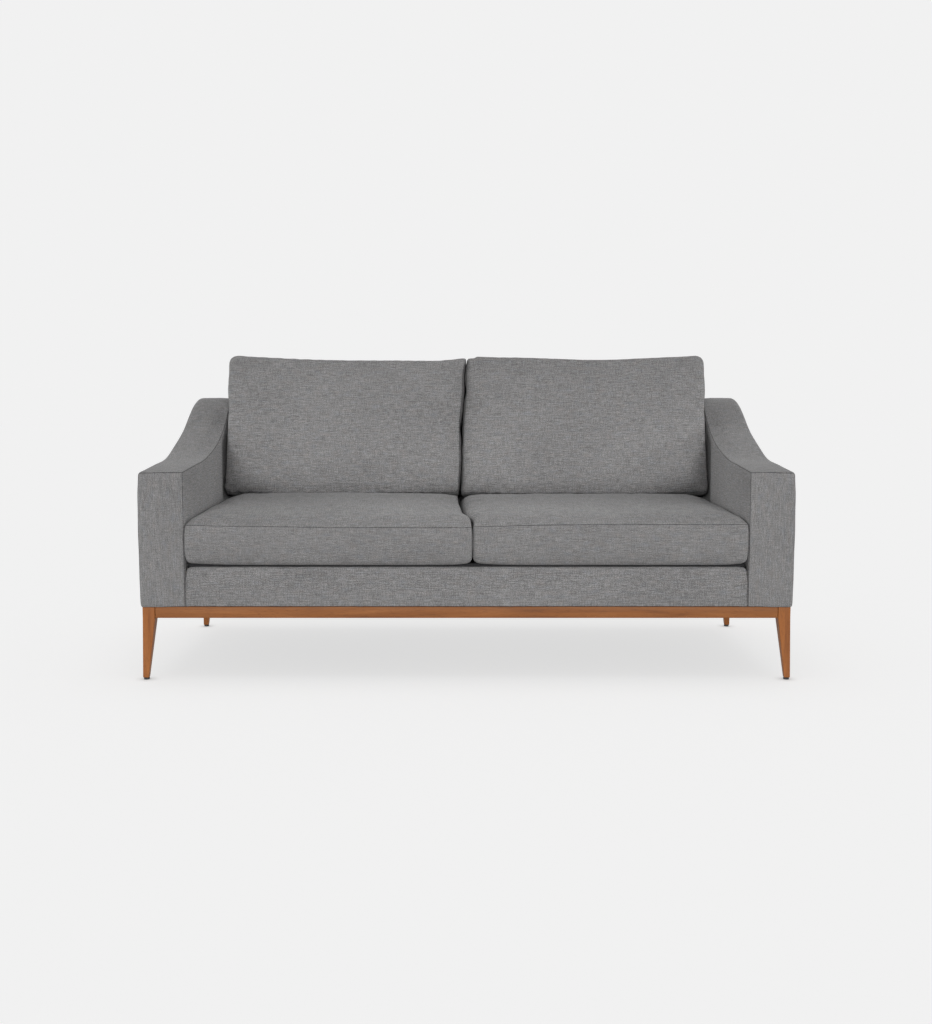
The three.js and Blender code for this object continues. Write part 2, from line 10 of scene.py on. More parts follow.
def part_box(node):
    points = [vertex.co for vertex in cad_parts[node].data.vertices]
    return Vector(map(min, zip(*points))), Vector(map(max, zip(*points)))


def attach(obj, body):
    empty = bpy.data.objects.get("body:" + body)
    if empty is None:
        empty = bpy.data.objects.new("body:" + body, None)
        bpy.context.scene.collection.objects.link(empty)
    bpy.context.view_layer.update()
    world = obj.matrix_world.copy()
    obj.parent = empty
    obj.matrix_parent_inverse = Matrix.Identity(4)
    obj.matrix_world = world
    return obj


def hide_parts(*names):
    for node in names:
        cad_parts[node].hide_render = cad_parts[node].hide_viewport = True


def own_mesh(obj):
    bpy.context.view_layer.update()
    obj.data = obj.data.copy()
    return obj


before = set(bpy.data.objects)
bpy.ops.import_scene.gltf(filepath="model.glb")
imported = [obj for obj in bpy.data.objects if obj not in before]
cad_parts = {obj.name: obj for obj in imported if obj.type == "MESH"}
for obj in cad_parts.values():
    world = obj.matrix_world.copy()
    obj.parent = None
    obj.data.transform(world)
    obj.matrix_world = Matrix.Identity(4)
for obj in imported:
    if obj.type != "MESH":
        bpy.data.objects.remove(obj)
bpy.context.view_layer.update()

# Camera: fitted to the four glides, the arms' upright seams and the level edges
IMAGE_HEIGHT = 1024
FOCAL_PIXELS = 1187.0
AXIS_OFFSET_PIXELS = 0.53
SENSOR = 36.0
PITCH = math.radians(5.577)
CAMERA_PLACE = (0.0, -3.837, 0.8294)
camera = bpy.data.objects.new("camera", bpy.data.cameras.new("camera"))
bpy.context.scene.collection.objects.link(camera)
camera.data.sensor_width = SENSOR
camera.data.lens = FOCAL_PIXELS * SENSOR / IMAGE_HEIGHT
camera.data.shift_x = -AXIS_OFFSET_PIXELS / IMAGE_HEIGHT
camera.location = CAMERA_PLACE
camera.rotation_euler = (math.pi / 2 - PITCH, 0.0, 0.0)
bpy.context.scene.camera = camera

# Sizes that repeat the CAD model's
HALF_WIDTH = 0.950
HALF_DEPTH = 0.425
ARM_INNER = 0.818
BODY_UNDERSIDE = 0.2175
DECK_TOP = 0.341
ARM_FRONT_TOP = 0.610
BACK_TOP = 0.8225
BACK_FOOT = 0.285
BACK_LEAN = math.radians(9.6)
BACK_CORNER = (0.3064, 0.47106)
SEAT_FRONT = -0.4235
SEAT_REAR = 0.2844
SEAT_BOTTOM = 0.3413
LEG_OUTER = (0.9465, 0.413)
LEG_TOP = 0.0362
LEG_FOOT = 0.0168
LEG_SPLAY = 0.0032
LEG_PROUD = 0.0008
LEG_UNDERSIDE = 0.0063
RAIL_UNDERSIDE = 0.1835
RAIL_TOP = 0.2172
RAIL_THICK = 0.022
RAIL_GAP = 0.0003
ARM_TOP_SHARES = [(0, 0), (0.2, 0.055), (0.38, 0.116), (0.54, 0.306), (0.68, 0.515), (0.79, 0.753),
                  (0.86, 0.889), (0.93, 0.974), (1, 1)]
SIDES = (("left", -1), ("right", 1))

# Meshes
ON_FACE = 1e-7
TINY = 1e-9
MINUS_X, PLUS_X, MINUS_Y, PLUS_Y, MINUS_Z, PLUS_Z = range(6)
ROUND_SHARES = (0.1, 0.35, 0.65, 1.0)
SHELL = 0.005


def ruler(low, high, step, *near):
    """Places from low to high about a step apart, with those of near, measured in from each end, added."""
    ends = np.array([d for d in near if d < (high - low) / 2 - step / 4])
    inner = ends.max() if len(ends) else 0.0
    count = max(1, int(round((high - low - 2 * inner) / step)))
    middle = np.linspace(low + inner, high - inner, count + 1)
    return np.unique(np.round(np.concatenate([[low, high], low + ends, high - ends, middle]), 6))


def lattice(xs, ys, zs):
    """The outside of a box of points: their places, its outward quads, and the side of each quad, MINUS_X to
    PLUS_Z."""
    shape = (len(xs), len(ys), len(zs))
    shell = np.zeros(shape, bool)
    shell[[0, -1]] = shell[:, [0, -1]] = shell[:, :, [0, -1]] = True
    index = np.full(shape, -1)
    index[shell] = np.arange(shell.sum())
    i, j, k = np.nonzero(shell)
    points = np.stack([xs[i], ys[j], zs[k]], 1)
    quads, sides = [], []
    for axis in range(3):
        for end in (0, 1):
            sheet = np.take(index, -end, axis=axis)
            loop = [sheet[:-1, :-1], sheet[1:, :-1], sheet[1:, 1:], sheet[:-1, 1:]]
            if (end == 0) != (axis == 1):
                loop = loop[::-1]
            quads.append(np.stack(loop, 2).reshape(-1, 4))
            sides.append(np.full(len(quads[-1]), 2 * axis + end))
    return points, np.concatenate(quads), np.concatenate(sides)


def box_lattice(low, high, steps, near):
    """The lattice of a box, from its step along each axis and the distances near, added in from every face."""
    steps = np.broadcast_to(steps, 3)
    return lattice(*(ruler(low[k], high[k], steps[k], *near) for k in range(3)))


def at_faces(points, low, high):
    """Whether each point of a lattice box is on its lower and on its higher face, for each axis."""
    return np.abs(points - low) < ON_FACE, np.abs(points - high) < ON_FACE


def rounded(points, low, high, radius):
    """Rounds a lattice box. radius is one number or one a point."""
    radius = np.broadcast_to(np.asarray(radius, float), len(points))[:, None]
    inner = np.clip(points, low + radius, high - radius)
    out = points - inner
    length = np.linalg.norm(out, axis=1)[:, None]
    return np.where(length > TINY, inner + out / np.maximum(length, TINY) * radius, points)


def rounded_box(low, high, radius, step, shares=ROUND_SHARES):
    """A box with rounded edges: its points before and after the rounding, and its quads."""
    low, high = np.array(low), np.array(high)
    box_points, quads, _ = box_lattice(low, high, step, [radius * share for share in shares])
    return box_points, rounded(box_points, low, high, radius), quads


def weave_places(points, quads, sides, shift, turned=()):
    """A place on the cloth for each corner of each quad: along the weft, along the warp, and a third number
    that tells panels apart. The weft is upright on the sides in turned."""
    places = np.zeros((len(quads), 4, 3))
    for side in range(6):
        axes = [k for k in range(3) if k != side // 2]
        chosen = sides == side
        for slot, axis in enumerate(axes[::-1] if side in turned else axes):
            places[chosen, :, slot] = points[quads[chosen]][:, :, axis]
        places[chosen, :, 2] = side + shift
    return places


def waves(points, length, seed, count=14):
    """Smooth unevenness from about -1 to 1 with bumps about length across, the same on each run."""
    draw = np.random.default_rng(seed)
    headings = draw.normal(size=(count, 3))
    headings /= np.linalg.norm(headings, axis=1)[:, None]
    rates = 2 * np.pi / (length * draw.uniform(0.8, 2.2, count))
    phases = draw.uniform(0, 2 * np.pi, count)
    return np.sin((points @ headings.T) * rates + phases).sum(1) / math.sqrt(count) / 1.6


def smooth(value, low, high):
    """0 at low and 1 at high, with a soft start and end. low may be the greater."""
    share = np.clip((value - low) / (high - low), 0, 1)
    return share * share * (3 - 2 * share)


def add_object(name, data):
    made = bpy.data.objects.new(name, data)
    bpy.context.scene.collection.objects.link(made)
    return made


def add_mesh(name, points, quads, material, cloth=None, seam=None, panels=None, painted_light=None):
    """A mesh object. material is one, or several of which panels gives the number for each quad. seam says how
    dark the seams are, and also carries painted shadow lines along some lower edges. The last argument is
    painted light and shade: how much lighter or darker the cloth looks at each point."""
    data = bpy.data.meshes.new(name)
    used = np.unique(quads)
    fresh = np.zeros(len(points), int)
    fresh[used] = np.arange(len(used))
    data.from_pydata(points[used].tolist(), [], fresh[quads].tolist())
    data.polygons.foreach_set("use_smooth", np.ones(len(quads), bool))
    if cloth is not None:
        layer = data.attributes.new("cloth", "FLOAT_VECTOR", "CORNER")
        layer.data.foreach_set("vector", cloth.astype(np.float32).ravel())
    for label, values in (("seam", seam), ("painted_light", painted_light)):
        if values is not None:
            layer = data.attributes.new(label, "FLOAT", "POINT")
            layer.data.foreach_set("value", np.broadcast_to(values, len(points))[used].astype(np.float32))
    for one in material if isinstance(material, (list, tuple)) else [material]:
        data.materials.append(one)
    if panels is not None:
        data.polygons.foreach_set("material_index", panels.astype(np.int32))
    return add_object(name, data)


def thicken(piece):
    """Gives a sheet of cloth its thickness, inwards."""
    shell = piece.modifiers.new("thickness", "SOLIDIFY")
    shell.thickness = SHELL
    shell.offset = -1
    shell.use_even_offset = False
    bpy.context.view_layer.update()
    graph = bpy.context.evaluated_depsgraph_get()
    thick = piece.evaluated_get(graph)
    mesh = bpy.data.meshes.new_from_object(thick, preserve_all_data_layers=True, depsgraph=graph)
    piece.modifiers.clear()
    piece.data = mesh
    return piece


def finish_piece(piece, body, slot, *nodes):
    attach(piece, body)
    if nodes:
        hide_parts(*nodes)
    return piece


# Materials
def add_node(tree, kind, settings=None, **inputs):
    """A shader node. Each input is named by its socket, or _ and its number, and is a value or a socket."""
    made = tree.nodes.new("ShaderNode" + kind)
    for key, value in (settings or {}).items():
        setattr(made, key, value)
    for key, value in inputs.items():
        socket = made.inputs[int(key[1:])] if key[0] == "_" else made.inputs[key.replace("_", " ")]
        if isinstance(value, bpy.types.NodeSocket):
            tree.links.new(value, socket)
        else:
            socket.default_value = value
    return made


class Look:
    """Builds one material's nodes."""

    def __init__(self, name, roughness, metallic=0.0, **constants):
        self.material = bpy.data.materials.new(name)
        self.material.use_nodes = True
        self.tree = self.material.node_tree
        self.shader = self.tree.nodes["Principled BSDF"]
        constants.update(Roughness=roughness, Metallic=metallic)
        for socket, value in constants.items():
            self.shader.inputs[socket.replace("_", " ")].default_value = value

    def node(self, kind, settings=None, **inputs):
        return add_node(self.tree, kind, settings, **inputs)

    def attribute(self, name, output="Fac"):
        return self.node("Attribute", {"attribute_name": name}).outputs[output]

    def place(self):
        return self.node("TexCoord").outputs["Object"]

    def scaled(self, vector, scale, location=(0.0, 0.0, 0.0)):
        return self.node("Mapping", Vector=vector, Scale=scale, Location=location).outputs["Vector"]

    def noise(self, vector, scale, detail=2.0, rough=0.5, distortion=0.0):
        return self.node("TexNoise", Vector=vector, Scale=scale, Detail=detail, Roughness=rough,
                         Distortion=distortion).outputs["Fac"]

    def math(self, operation, first, second, third=0.0):
        return self.node("Math", {"operation": operation}, _0=first, _1=second, _2=third).outputs[0]

    def threads(self, vector, rate, axis):
        """A sine along one axis, at rate radians a metre."""
        split = self.node("SeparateXYZ", Vector=self.scaled(vector, (rate,) * 3))
        return self.math("SINE", split.outputs[axis], 0.0)

    def spread(self, value, low, high, to_low=0.0, to_high=1.0):
        return self.node("MapRange", Value=value, From_Min=low, From_Max=high, To_Min=to_low,
                         To_Max=to_high).outputs["Result"]

    def mix(self, factor, first, second, blend="MIX"):
        first, second = (color if isinstance(color, bpy.types.NodeSocket) else (*color, 1.0)
                         for color in (first, second))
        return self.node("Mix", {"data_type": "RGBA", "blend_type": blend}, _0=factor, _6=first,
                         _7=second).outputs[2]

    def paint(self, color):
        self.tree.links.new(color, self.shader.inputs["Base Color"])

    def bump(self, height, distance, strength):
        made = self.node("Bump", Height=height, Distance=distance, Strength=strength)
        self.tree.links.new(made.outputs["Normal"], self.shader.inputs["Normal"])


YARN_DARK, YARN_CENTRE, YARN_LIGHT = (0.127, 0.124, 0.125), (0.2235, 0.2200, 0.2200), (0.347, 0.342, 0.340)
YARN_WARM, YARN_COOL = (1.030, 0.997, 0.977), (0.970, 0.997, 1.033)
YARN_REACH = 0.31
SEAM_COLOR = (0.02, 0.02, 0.021)
WEFT_PITCH, WARP_PITCH = 0.0022, 0.0019


def fabric(name, contrast):
    """Grey melange weave: slubs that run along the weft, two tones of yarn, and a plain weave under them."""
    look = Look(name, 0.92, Sheen_Weight=0.12, Sheen_Roughness=0.45, Specular_IOR_Level=0.25)
    cloth = look.attribute("cloth", "Vector")

    def layer(scale, location, detail, rough):
        return look.noise(look.scaled(cloth, scale, location), 1.0, detail, rough)

    slubs = layer((40.0, 410.0, 7.0), (0.0, 0.0, 0.0), 2.0, 0.6)
    long_slubs = layer((13.0, 290.0, 11.0), (3.1, 7.7, 0.0), 2.0, 0.55)
    warps = layer((400.0, 34.0, 5.0), (1.3, 2.9, 0.0), 2.0, 0.6)
    grain = layer((390.0, 330.0, 13.0), (5.3, 0.9, 0.0), 1.0, 0.5)
    patches = layer((4.0, 5.5, 17.0), (2.2, 4.1, 0.0), 2.0, 0.5)
    tint = layer((30.0, 70.0, 3.0), (9.1, 6.3, 0.0), 2.0, 0.5)
    tone, total = 0.0, 0.0
    for part, share in ((patches, 0.18), (grain, 1.1), (warps, 0.62), (long_slubs, 0.45), (slubs, 0.8)):
        tone = look.math("MULTIPLY_ADD", part, share, tone)
        total += share
    middle, reach = total / 2, YARN_REACH / contrast
    low = look.mix(look.spread(tone, middle - reach, middle), YARN_DARK, YARN_CENTRE)
    base = look.mix(look.spread(tone, middle, middle + reach), low, YARN_LIGHT)
    warm = look.mix(look.spread(tint, 0.54, 0.72), base, YARN_WARM, "MULTIPLY")
    cool = look.mix(look.spread(tint, 0.46, 0.28), warm, YARN_COOL, "MULTIPLY")
    # Painted light and shade: a point attribute makes the cloth lighter or darker where the light falls
    # unevenly on it
    painted_light = look.math("ADD", look.attribute("painted_light"), 1.0)
    with_painted_light = look.node("VectorMath", {"operation": "SCALE"}, Vector=cool, Scale=painted_light)
    # Seams darken towards near black, and so do the painted shadow lines that some lower edges carry in the
    # same attribute
    shut = look.math("MINIMUM", look.math("MULTIPLY", look.attribute("seam"), 0.82), 0.93)
    look.paint(look.mix(shut, with_painted_light.outputs["Vector"], SEAM_COLOR))
    weft = look.threads(cloth, 2 * math.pi / WEFT_PITCH, "X")
    warp = look.threads(cloth, 2 * math.pi / WARP_PITCH, "Y")
    weave = look.math("MULTIPLY_ADD", look.math("MULTIPLY", weft, warp), 0.35, look.math("ADD", grain, slubs))
    look.bump(weave, 0.0007, 0.55)
    return look.material


def wood(name, axis, colors, gloss=0.48, shift=0.0):
    """Stained wood whose grain runs along one axis, given as 0, 1 or 2."""
    look = Look(name, gloss, Specular_IOR_Level=0.28, Coat_Weight=0.05, Coat_Roughness=0.4)
    along = np.ones(3)
    along[axis] = 0.06
    place = look.place()
    grain = look.noise(look.scaled(place, tuple(170 * along), (shift, 1.7, 4.3)), 1.0, 5.0, 0.62, 0.4)
    pores = look.noise(look.scaled(place, tuple(900 * along), (2.0, shift, 1.1)), 1.0, 2.0, 0.6)
    figure = look.noise(look.scaled(place, tuple(38 * along), (shift, 5.0, shift)), 1.0, 3.0, 0.5, 1.2)
    dark, middle, light = colors
    base = look.mix(look.spread(figure, 0.3, 0.7), dark, light)
    base = look.mix(look.spread(grain, 0.36, 0.64, 0.1, 0.9), base, middle)
    base = look.mix(look.spread(pores, 0.58, 0.74, 0.0, 0.65), base, tuple(0.45 * part for part in dark))
    look.paint(base)
    roughness = look.spread(grain, 0.3, 0.7, gloss - 0.06, gloss + 0.12)
    look.tree.links.new(roughness, look.shader.inputs["Roughness"])
    look.bump(look.math("ADD", grain, look.math("MULTIPLY", pores, -0.8)), 0.0004, 0.35)
    return look.material


def plain(name, dark, light, size, roughness, metallic=0.0, depth=0.0003):
    """A mottled material for hidden and small pieces."""
    look = Look(name, roughness, metallic)
    place = look.place()
    mottle = look.math("ADD", look.noise(place, 1 / size, 3.0, 0.6), look.noise(place, 6 / size, 2.0, 0.5))
    look.paint(look.mix(look.spread(mottle, 0.75, 1.25), dark, light))
    look.bump(mottle, depth, 0.5)
    return look.material


def foam_look():
    look = Look("foam", 0.95)
    cells = look.node("TexVoronoi", Vector=look.place(), Scale=420.0).outputs["Distance"]
    patches = look.noise(look.place(), 14.0)
    tone = look.mix(look.spread(patches, 0.35, 0.65), (0.72, 0.66, 0.50), (0.80, 0.75, 0.60))
    look.paint(look.mix(look.spread(cells, 0.05, 0.45, 0.5, 0.0), tone, (0.48, 0.42, 0.29)))
    look.bump(cells, 0.0012, 0.6)
    return look.material


def webbing_look():
    look = Look("webbing", 0.85)
    place = look.place()
    weave = look.math("MULTIPLY", look.threads(place, 2100.0, "X"), look.threads(place, 1500.0, "Y"))
    tone = look.spread(look.math("ADD", weave, look.noise(place, 260.0)), -0.6, 1.6)
    look.paint(look.mix(tone, (0.018, 0.016, 0.014), (0.085, 0.078, 0.066)))
    look.bump(weave, 0.0005, 0.7)
    return look.material


FABRIC = fabric("fabric", 1.12)
FABRIC_SMOOTH = fabric("fabric_smooth", 0.82)
FABRIC_TOP = fabric("fabric_top", 1.15)
# The rails' walnut is darker than the legs', a painted shade under the upholstery's overhang
WALNUT_RAIL = ((0.171, 0.056, 0.013), (0.293, 0.103, 0.026), (0.371, 0.141, 0.040))
WALNUT_LEG = ((0.217, 0.067, 0.014), (0.362, 0.123, 0.028), (0.450, 0.163, 0.041))
PINE = ((0.50, 0.36, 0.20), (0.62, 0.47, 0.29), (0.70, 0.55, 0.36))
WOOD_X = wood("wood_x", 0, WALNUT_RAIL, shift=0.3)
WOOD_Y = wood("wood_y", 1, WALNUT_RAIL, shift=1.9)
WOOD_Z = wood("wood_z", 2, WALNUT_LEG, shift=4.1)
TIMBER = [wood(f"timber_{name}", axis, PINE, 0.68, 2.6) for axis, name in enumerate("xyz")]
FOAM = foam_look()
WEBBING = webbing_look()
LINING = plain("lining", (0.012, 0.012, 0.013), (0.045, 0.045, 0.048), 0.004, 0.95, depth=0.0004)
ZIP_TAPE = plain("zip_tape", (0.055, 0.055, 0.058), (0.11, 0.11, 0.115), 0.003, 0.9)
ZIP_TEETH = plain("zip_teeth", (0.10, 0.10, 0.105), (0.16, 0.16, 0.165), 0.002, 0.45)
STEEL = plain("steel", (0.42, 0.43, 0.45), (0.62, 0.63, 0.65), 0.003, 0.38, 1.0, 0.0001)
GLIDE = plain("glide", (0.008, 0.008, 0.009), (0.022, 0.021, 0.021), 0.002, 0.55)

# Upholstery that stays on the frame. Puffs are how far the sides swell, for -X, +X, -Y, +Y, -Z and +Z
EDGE = (0.0018, 0.004, 0.007, 0.011, 0.018)
FLAT = (0.0,) * 6
ARM_STEPS = (0.011, 0.012, 0.013)
ARM_PUFFS = (0.0004, 0.001, 0.0025, 0.002, 0.0, 0.0010)
ARM_SEEDS = {"left": 11, "right": 23}
ARM_ROUND, ARM_FOOT_ROUND, ARM_TOP_ROUND, ARM_REAR_ROUND = 0.005, 0.005, 0.006, 0.004
ARM_TUCK = 0.0018
ARM_BULGE = 0.0018
ARM_NARROW, ARM_WAIST = 0.0017, 0.0010
ARM_CORNER_DROP = 0.0035
ARM_INNER_DROP = 0.016
ARM_HOLLOW, ARM_LOW_HOLLOW = 0.0095, 0.0025
COVER_STEPS = (0.016, 0.011, 0.016)
COVER_PUFFS = (0.0, 0.0, 0.0, 0.003, 0.0, 0.002)
COVER_ROUND, COVER_TOP_ROUND = 0.005, 0.006
APRON_STEPS = (0.012, 0.006, 0.010)
APRON_PUFFS = (0.0, 0.0, 0.002, 0.0, 0.0, 0.0)
APRON_END_ROUND, APRON_ROUND, APRON_TOP_ROUND = 0.0018, 0.0022, 0.0080
APRON_DROOP, APRON_END_DROOP = 0.0062, 0.0085


def swell(distance, reach=0.05):
    return 1 - (1 - np.clip(distance / reach, 0, 1)) ** 2


def puffed(points, low, high, puffs, seed, reach=0.05, ripple=0.0005):
    """How far each point of a lattice box moves when its six panels are padded out and slightly uneven."""
    move = np.zeros_like(points)
    for axis in range(3):
        others = [k for k in range(3) if k != axis]
        for end, place, sign in ((0, low[axis], -1), (1, high[axis], 1)):
            on = np.abs(points[:, axis] - place) < ON_FACE
            share = np.ones(on.sum())
            for k in others:
                share *= swell(np.minimum(points[on, k] - low[k], high[k] - points[on, k]), reach)
            uneven = ripple * waves(points[on], 0.11, seed + 2 * axis + end)
            move[on, axis] += sign * share * (puffs[2 * axis + end] + uneven)
    return move


def arm_line():
    """The arm's top line, height by depth: the same curve through the same shares as in the CAD model."""
    knots = np.array(ARM_TOP_SHARES) * (2 * HALF_DEPTH, BACK_TOP - ARM_FRONT_TOP) + (-HALF_DEPTH, ARM_FRONT_TOP)
    padded = np.concatenate([knots[:1], knots, knots[-1:]])
    t = np.linspace(0, 1, 31)[:, None]
    spans = []
    for before, start, end, after in zip(padded, padded[1:], padded[2:], padded[3:]):
        leave, arrive = (end - before) / 2, (after - start) / 2
        spans.append((2 * start - 2 * end + leave + arrive) * t ** 3
                     + (3 * end - 3 * start - 2 * leave - arrive) * t ** 2 + leave * t + start)
    line = np.concatenate(spans)
    return line[:, 0], line[:, 1]


ARM_DEPTHS, ARM_HEIGHTS = arm_line()


def back_plane(height, behind=0.0):
    return BACK_FOOT + (height - DECK_TOP) * math.tan(BACK_LEAN) + behind


def make_arm(side, sign):
    """An arm's cover: a swept top, tucked seams, and a hollow beside the back cushion. It is shaped as the
    right arm's, of which the left one's is the mirror image."""
    low = np.array([ARM_INNER + 0.0004, -HALF_DEPTH + 0.002, BODY_UNDERSIDE])
    high = np.array([HALF_WIDTH + 0.0012, HALF_DEPTH - 0.002, ARM_FRONT_TOP + 0.0010])
    box_points, quads, sides = box_lattice(low, high, ARM_STEPS, EDGE)
    x, y, z = box_points.T
    outer = smooth(x, 0.88, 0.93)
    top_round = smooth(z, 0.55, 0.60) * (ARM_TOP_ROUND + ARM_REAR_ROUND * smooth(y, 0.0, 0.38))
    radius = ARM_ROUND + outer * (top_round + ARM_FOOT_ROUND * smooth(z, 0.26, 0.23))
    at_low, at_high = at_faces(box_points, low, high)
    at_sides = at_low[:, 0] | at_high[:, 0]
    seam = ((at_low[:, 1] | at_high[:, 1]) & (at_sides | at_high[:, 2])) | (at_high[:, 2] & at_sides)
    # The lower front and outer edges, just above the rail, get a painted shadow line as dark as a seam
    painted_shadow_edge = at_low[:, 2] & (at_low[:, 1] | at_high[:, 0])
    points = rounded(box_points, low, high, radius)
    centre = np.clip(box_points, low + radius[:, None], high - radius[:, None])
    inward = (centre - points) / np.maximum(np.linalg.norm(centre - points, axis=1), TINY)[:, None]
    points[seam] += ARM_TUCK * inward[seam]
    points += puffed(box_points, low, high, ARM_PUFFS, ARM_SEEDS[side])
    points[:, 0] += ARM_BULGE * outer * smooth(z, 0.60, 0.53) * smooth(z, 0.22, 0.30)
    narrow = ARM_NARROW * smooth(z, 0.235, 0.265) - ARM_WAIST * np.exp(-((z - 0.435) / 0.045) ** 2)
    points[:, 0] -= outer * narrow * smooth(y, -0.20, -0.38)
    points[:, 2] -= ARM_CORNER_DROP * smooth(x, 0.84, 0.94) * smooth(z, 0.25, 0.22) * smooth(y, -0.412, -0.422)
    rise = np.interp(points[:, 1], ARM_DEPTHS, ARM_HEIGHTS) - ARM_FRONT_TOP
    points[:, 2] += rise * np.clip((z - BODY_UNDERSIDE) / (ARM_FRONT_TOP - 0.06 - BODY_UNDERSIDE), 0, 1)
    inner_drop = ARM_INNER_DROP * smooth(y, -0.12, 0.09) * (1 - 0.8 * smooth(y, 0.17, 0.31))
    points[:, 2] -= inner_drop * smooth(x, 0.875, ARM_INNER) * smooth(z, 0.52, 0.60)
    hollow = smooth(points[:, 2], 0.715, 0.65) * smooth(y, 0.132, 0.170) * smooth(y, 0.285, 0.25)
    hollow *= ARM_HOLLOW + ARM_LOW_HOLLOW * smooth(points[:, 2], 0.60, 0.52)
    points[:, 0] += hollow * smooth(x, ARM_INNER + 0.03, ARM_INNER + 0.008)
    middles = points[quads].mean(1)
    hidden = (middles[:, 1] > back_plane(middles[:, 2], 0.02)) & (middles[:, 2] < BACK_TOP - 0.015)
    hidden &= middles[:, 1] < HALF_DEPTH - 0.045
    by_deck = (middles[:, 2] < DECK_TOP - 0.0207) & (middles[:, 1] > -HALF_DEPTH + 0.026)
    keep = (sides != MINUS_Z) & ~((sides == MINUS_X) & (by_deck | hidden))
    cloth = weave_places(points, quads, sides, 10.0 + sign, turned=(MINUS_Y, PLUS_Y))
    points[:, 0] *= sign
    quads, cloth = quads[keep], cloth[keep]
    if sign < 0:
        quads, cloth = quads[:, ::-1], cloth[:, ::-1]
    # Painted light and shade: the front panel is painted lighter, and the top darker, most towards the front
    top_shade = 0.07 + 0.08 * smooth(y, -0.2, -0.38)
    painted_light = np.where(at_low[:, 1], 0.06, -top_shade * smooth(z, 0.5, 0.58))
    arm = add_mesh(f"arm_{side}", points, quads, [FABRIC, FABRIC_SMOOTH], cloth, 2.0 * seam + 2.6 * painted_shadow_edge,
                   sides[keep] == MINUS_Y, painted_light)
    return finish_piece(thicken(arm), "frame", "upholstery", f"arm_cover_{side}")


def make_back_cover():
    low = np.array([-ARM_INNER + 0.0005, back_plane(BACK_TOP), DECK_TOP + 0.0003])
    high = np.array([ARM_INNER - 0.0005, HALF_DEPTH - 0.003, BACK_TOP - 0.002])
    box_points, quads, sides = box_lattice(low, high, COVER_STEPS, EDGE)
    radius = COVER_ROUND + COVER_TOP_ROUND * smooth(box_points[:, 2], high[2] - 0.06, high[2] - 0.02)
    points = rounded(box_points, low, high, radius)
    points += puffed(box_points, low, high, COVER_PUFFS, 41, 0.09, 0.0007)
    front = np.clip((high[1] - points[:, 1]) / (high[1] - low[1]), 0, 1)
    down = (high[2] - points[:, 2]) / (high[2] - low[2])
    points[:, 1] -= front * (BACK_TOP - points[:, 2]) * math.tan(BACK_LEAN)
    points[:, 2] -= (1 - front) * down * (low[2] - BODY_UNDERSIDE)
    keep = np.isin(sides, (MINUS_Y, PLUS_Y, PLUS_Z))
    cloth = weave_places(points, quads, sides, 30.0)
    at_ends = np.isclose(np.abs(box_points[:, 0]), high[0])
    top_rear = np.isclose(box_points[:, 2], high[2]) & np.isclose(box_points[:, 1], high[1])
    cover = add_mesh("back_upholstery", points, quads[keep], FABRIC, cloth[keep], at_ends | top_rear)
    return finish_piece(thicken(cover), "frame", "upholstery", "back_cover")


def make_apron():
    low = np.array([-ARM_INNER - 0.0003, -HALF_DEPTH + 0.007, BODY_UNDERSIDE])
    high = np.array([ARM_INNER + 0.0003, -HALF_DEPTH + 0.0297, DECK_TOP])
    box_points, quads, sides = box_lattice(low, high, APRON_STEPS, EDGE)
    from_end, z = high[0] - np.abs(box_points[:, 0]), box_points[:, 2]
    radius = APRON_END_ROUND + APRON_ROUND * smooth(from_end, 0.0, 0.02)
    radius += APRON_TOP_ROUND * smooth(z, DECK_TOP - 0.05, DECK_TOP - 0.02)
    points = rounded(box_points, low, high, radius)
    points += puffed(box_points, low, high, APRON_PUFFS, 53, 0.035, 0.0006)
    droop = APRON_DROOP + APRON_END_DROOP * (1 - quarter_round(from_end, 0.034))
    points[:, 2] -= droop * smooth(z, DECK_TOP - 0.045, DECK_TOP - 0.004)
    keep = (sides != PLUS_Y) & (sides != MINUS_Z)
    cloth = weave_places(points, quads, sides, 50.0)
    # The ends get dark seam lines. The bottom edge gets a painted shadow line above the rail, and the whole
    # apron is painted a little lighter
    seam = 0.6 * np.isclose(np.abs(box_points[:, 0]), high[0]) + 2.2 * np.isclose(z, low[2])
    apron = add_mesh("apron", points, quads[keep], FABRIC, cloth[keep], seam, painted_light=0.07)
    return finish_piece(thicken(apron), "frame", "upholstery", "front_apron")


def node_box(name):
    return [np.array(corner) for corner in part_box(name)]


def slab(name, node, material, slot, radius, step=0.03, ripple=0.0, leans=None):
    """A rounded, slightly uneven block in the box of a CAD node, which it replaces. leans gives how far behind
    the back's face a leaning sheet starts and ends."""
    low, high = node_box(node)
    if leans:
        low[1], high[1] = leans
    radius = min(radius, 0.49 * (high - low).min())
    box_points, points, quads = rounded_box(low, high, radius, step)
    points += puffed(box_points, low, high, FLAT, 5, 0.08, ripple)
    if leans:
        points[:, 1] += back_plane(points[:, 2])
    return finish_piece(add_mesh(name, points, quads, material), "frame", slot, node)


def make_inner_cloth():
    slab("deck_cloth", "seat_deck", LINING, "lining", 0.005, ripple=0.0004)
    dust = slab("dust_cloth", "dust_cover", LINING, "lining", 0.0005, ripple=0.0003)
    lining = slab("back_lining_cloth", "back_lining", LINING, "lining", 0.0005, leans=(0.0203, 0.0223))
    for number in range(1, 7):
        slab(f"web_strap_{number}", f"seat_web_{number}", WEBBING, "webbing", 0.0008, 0.02, 0.0002)


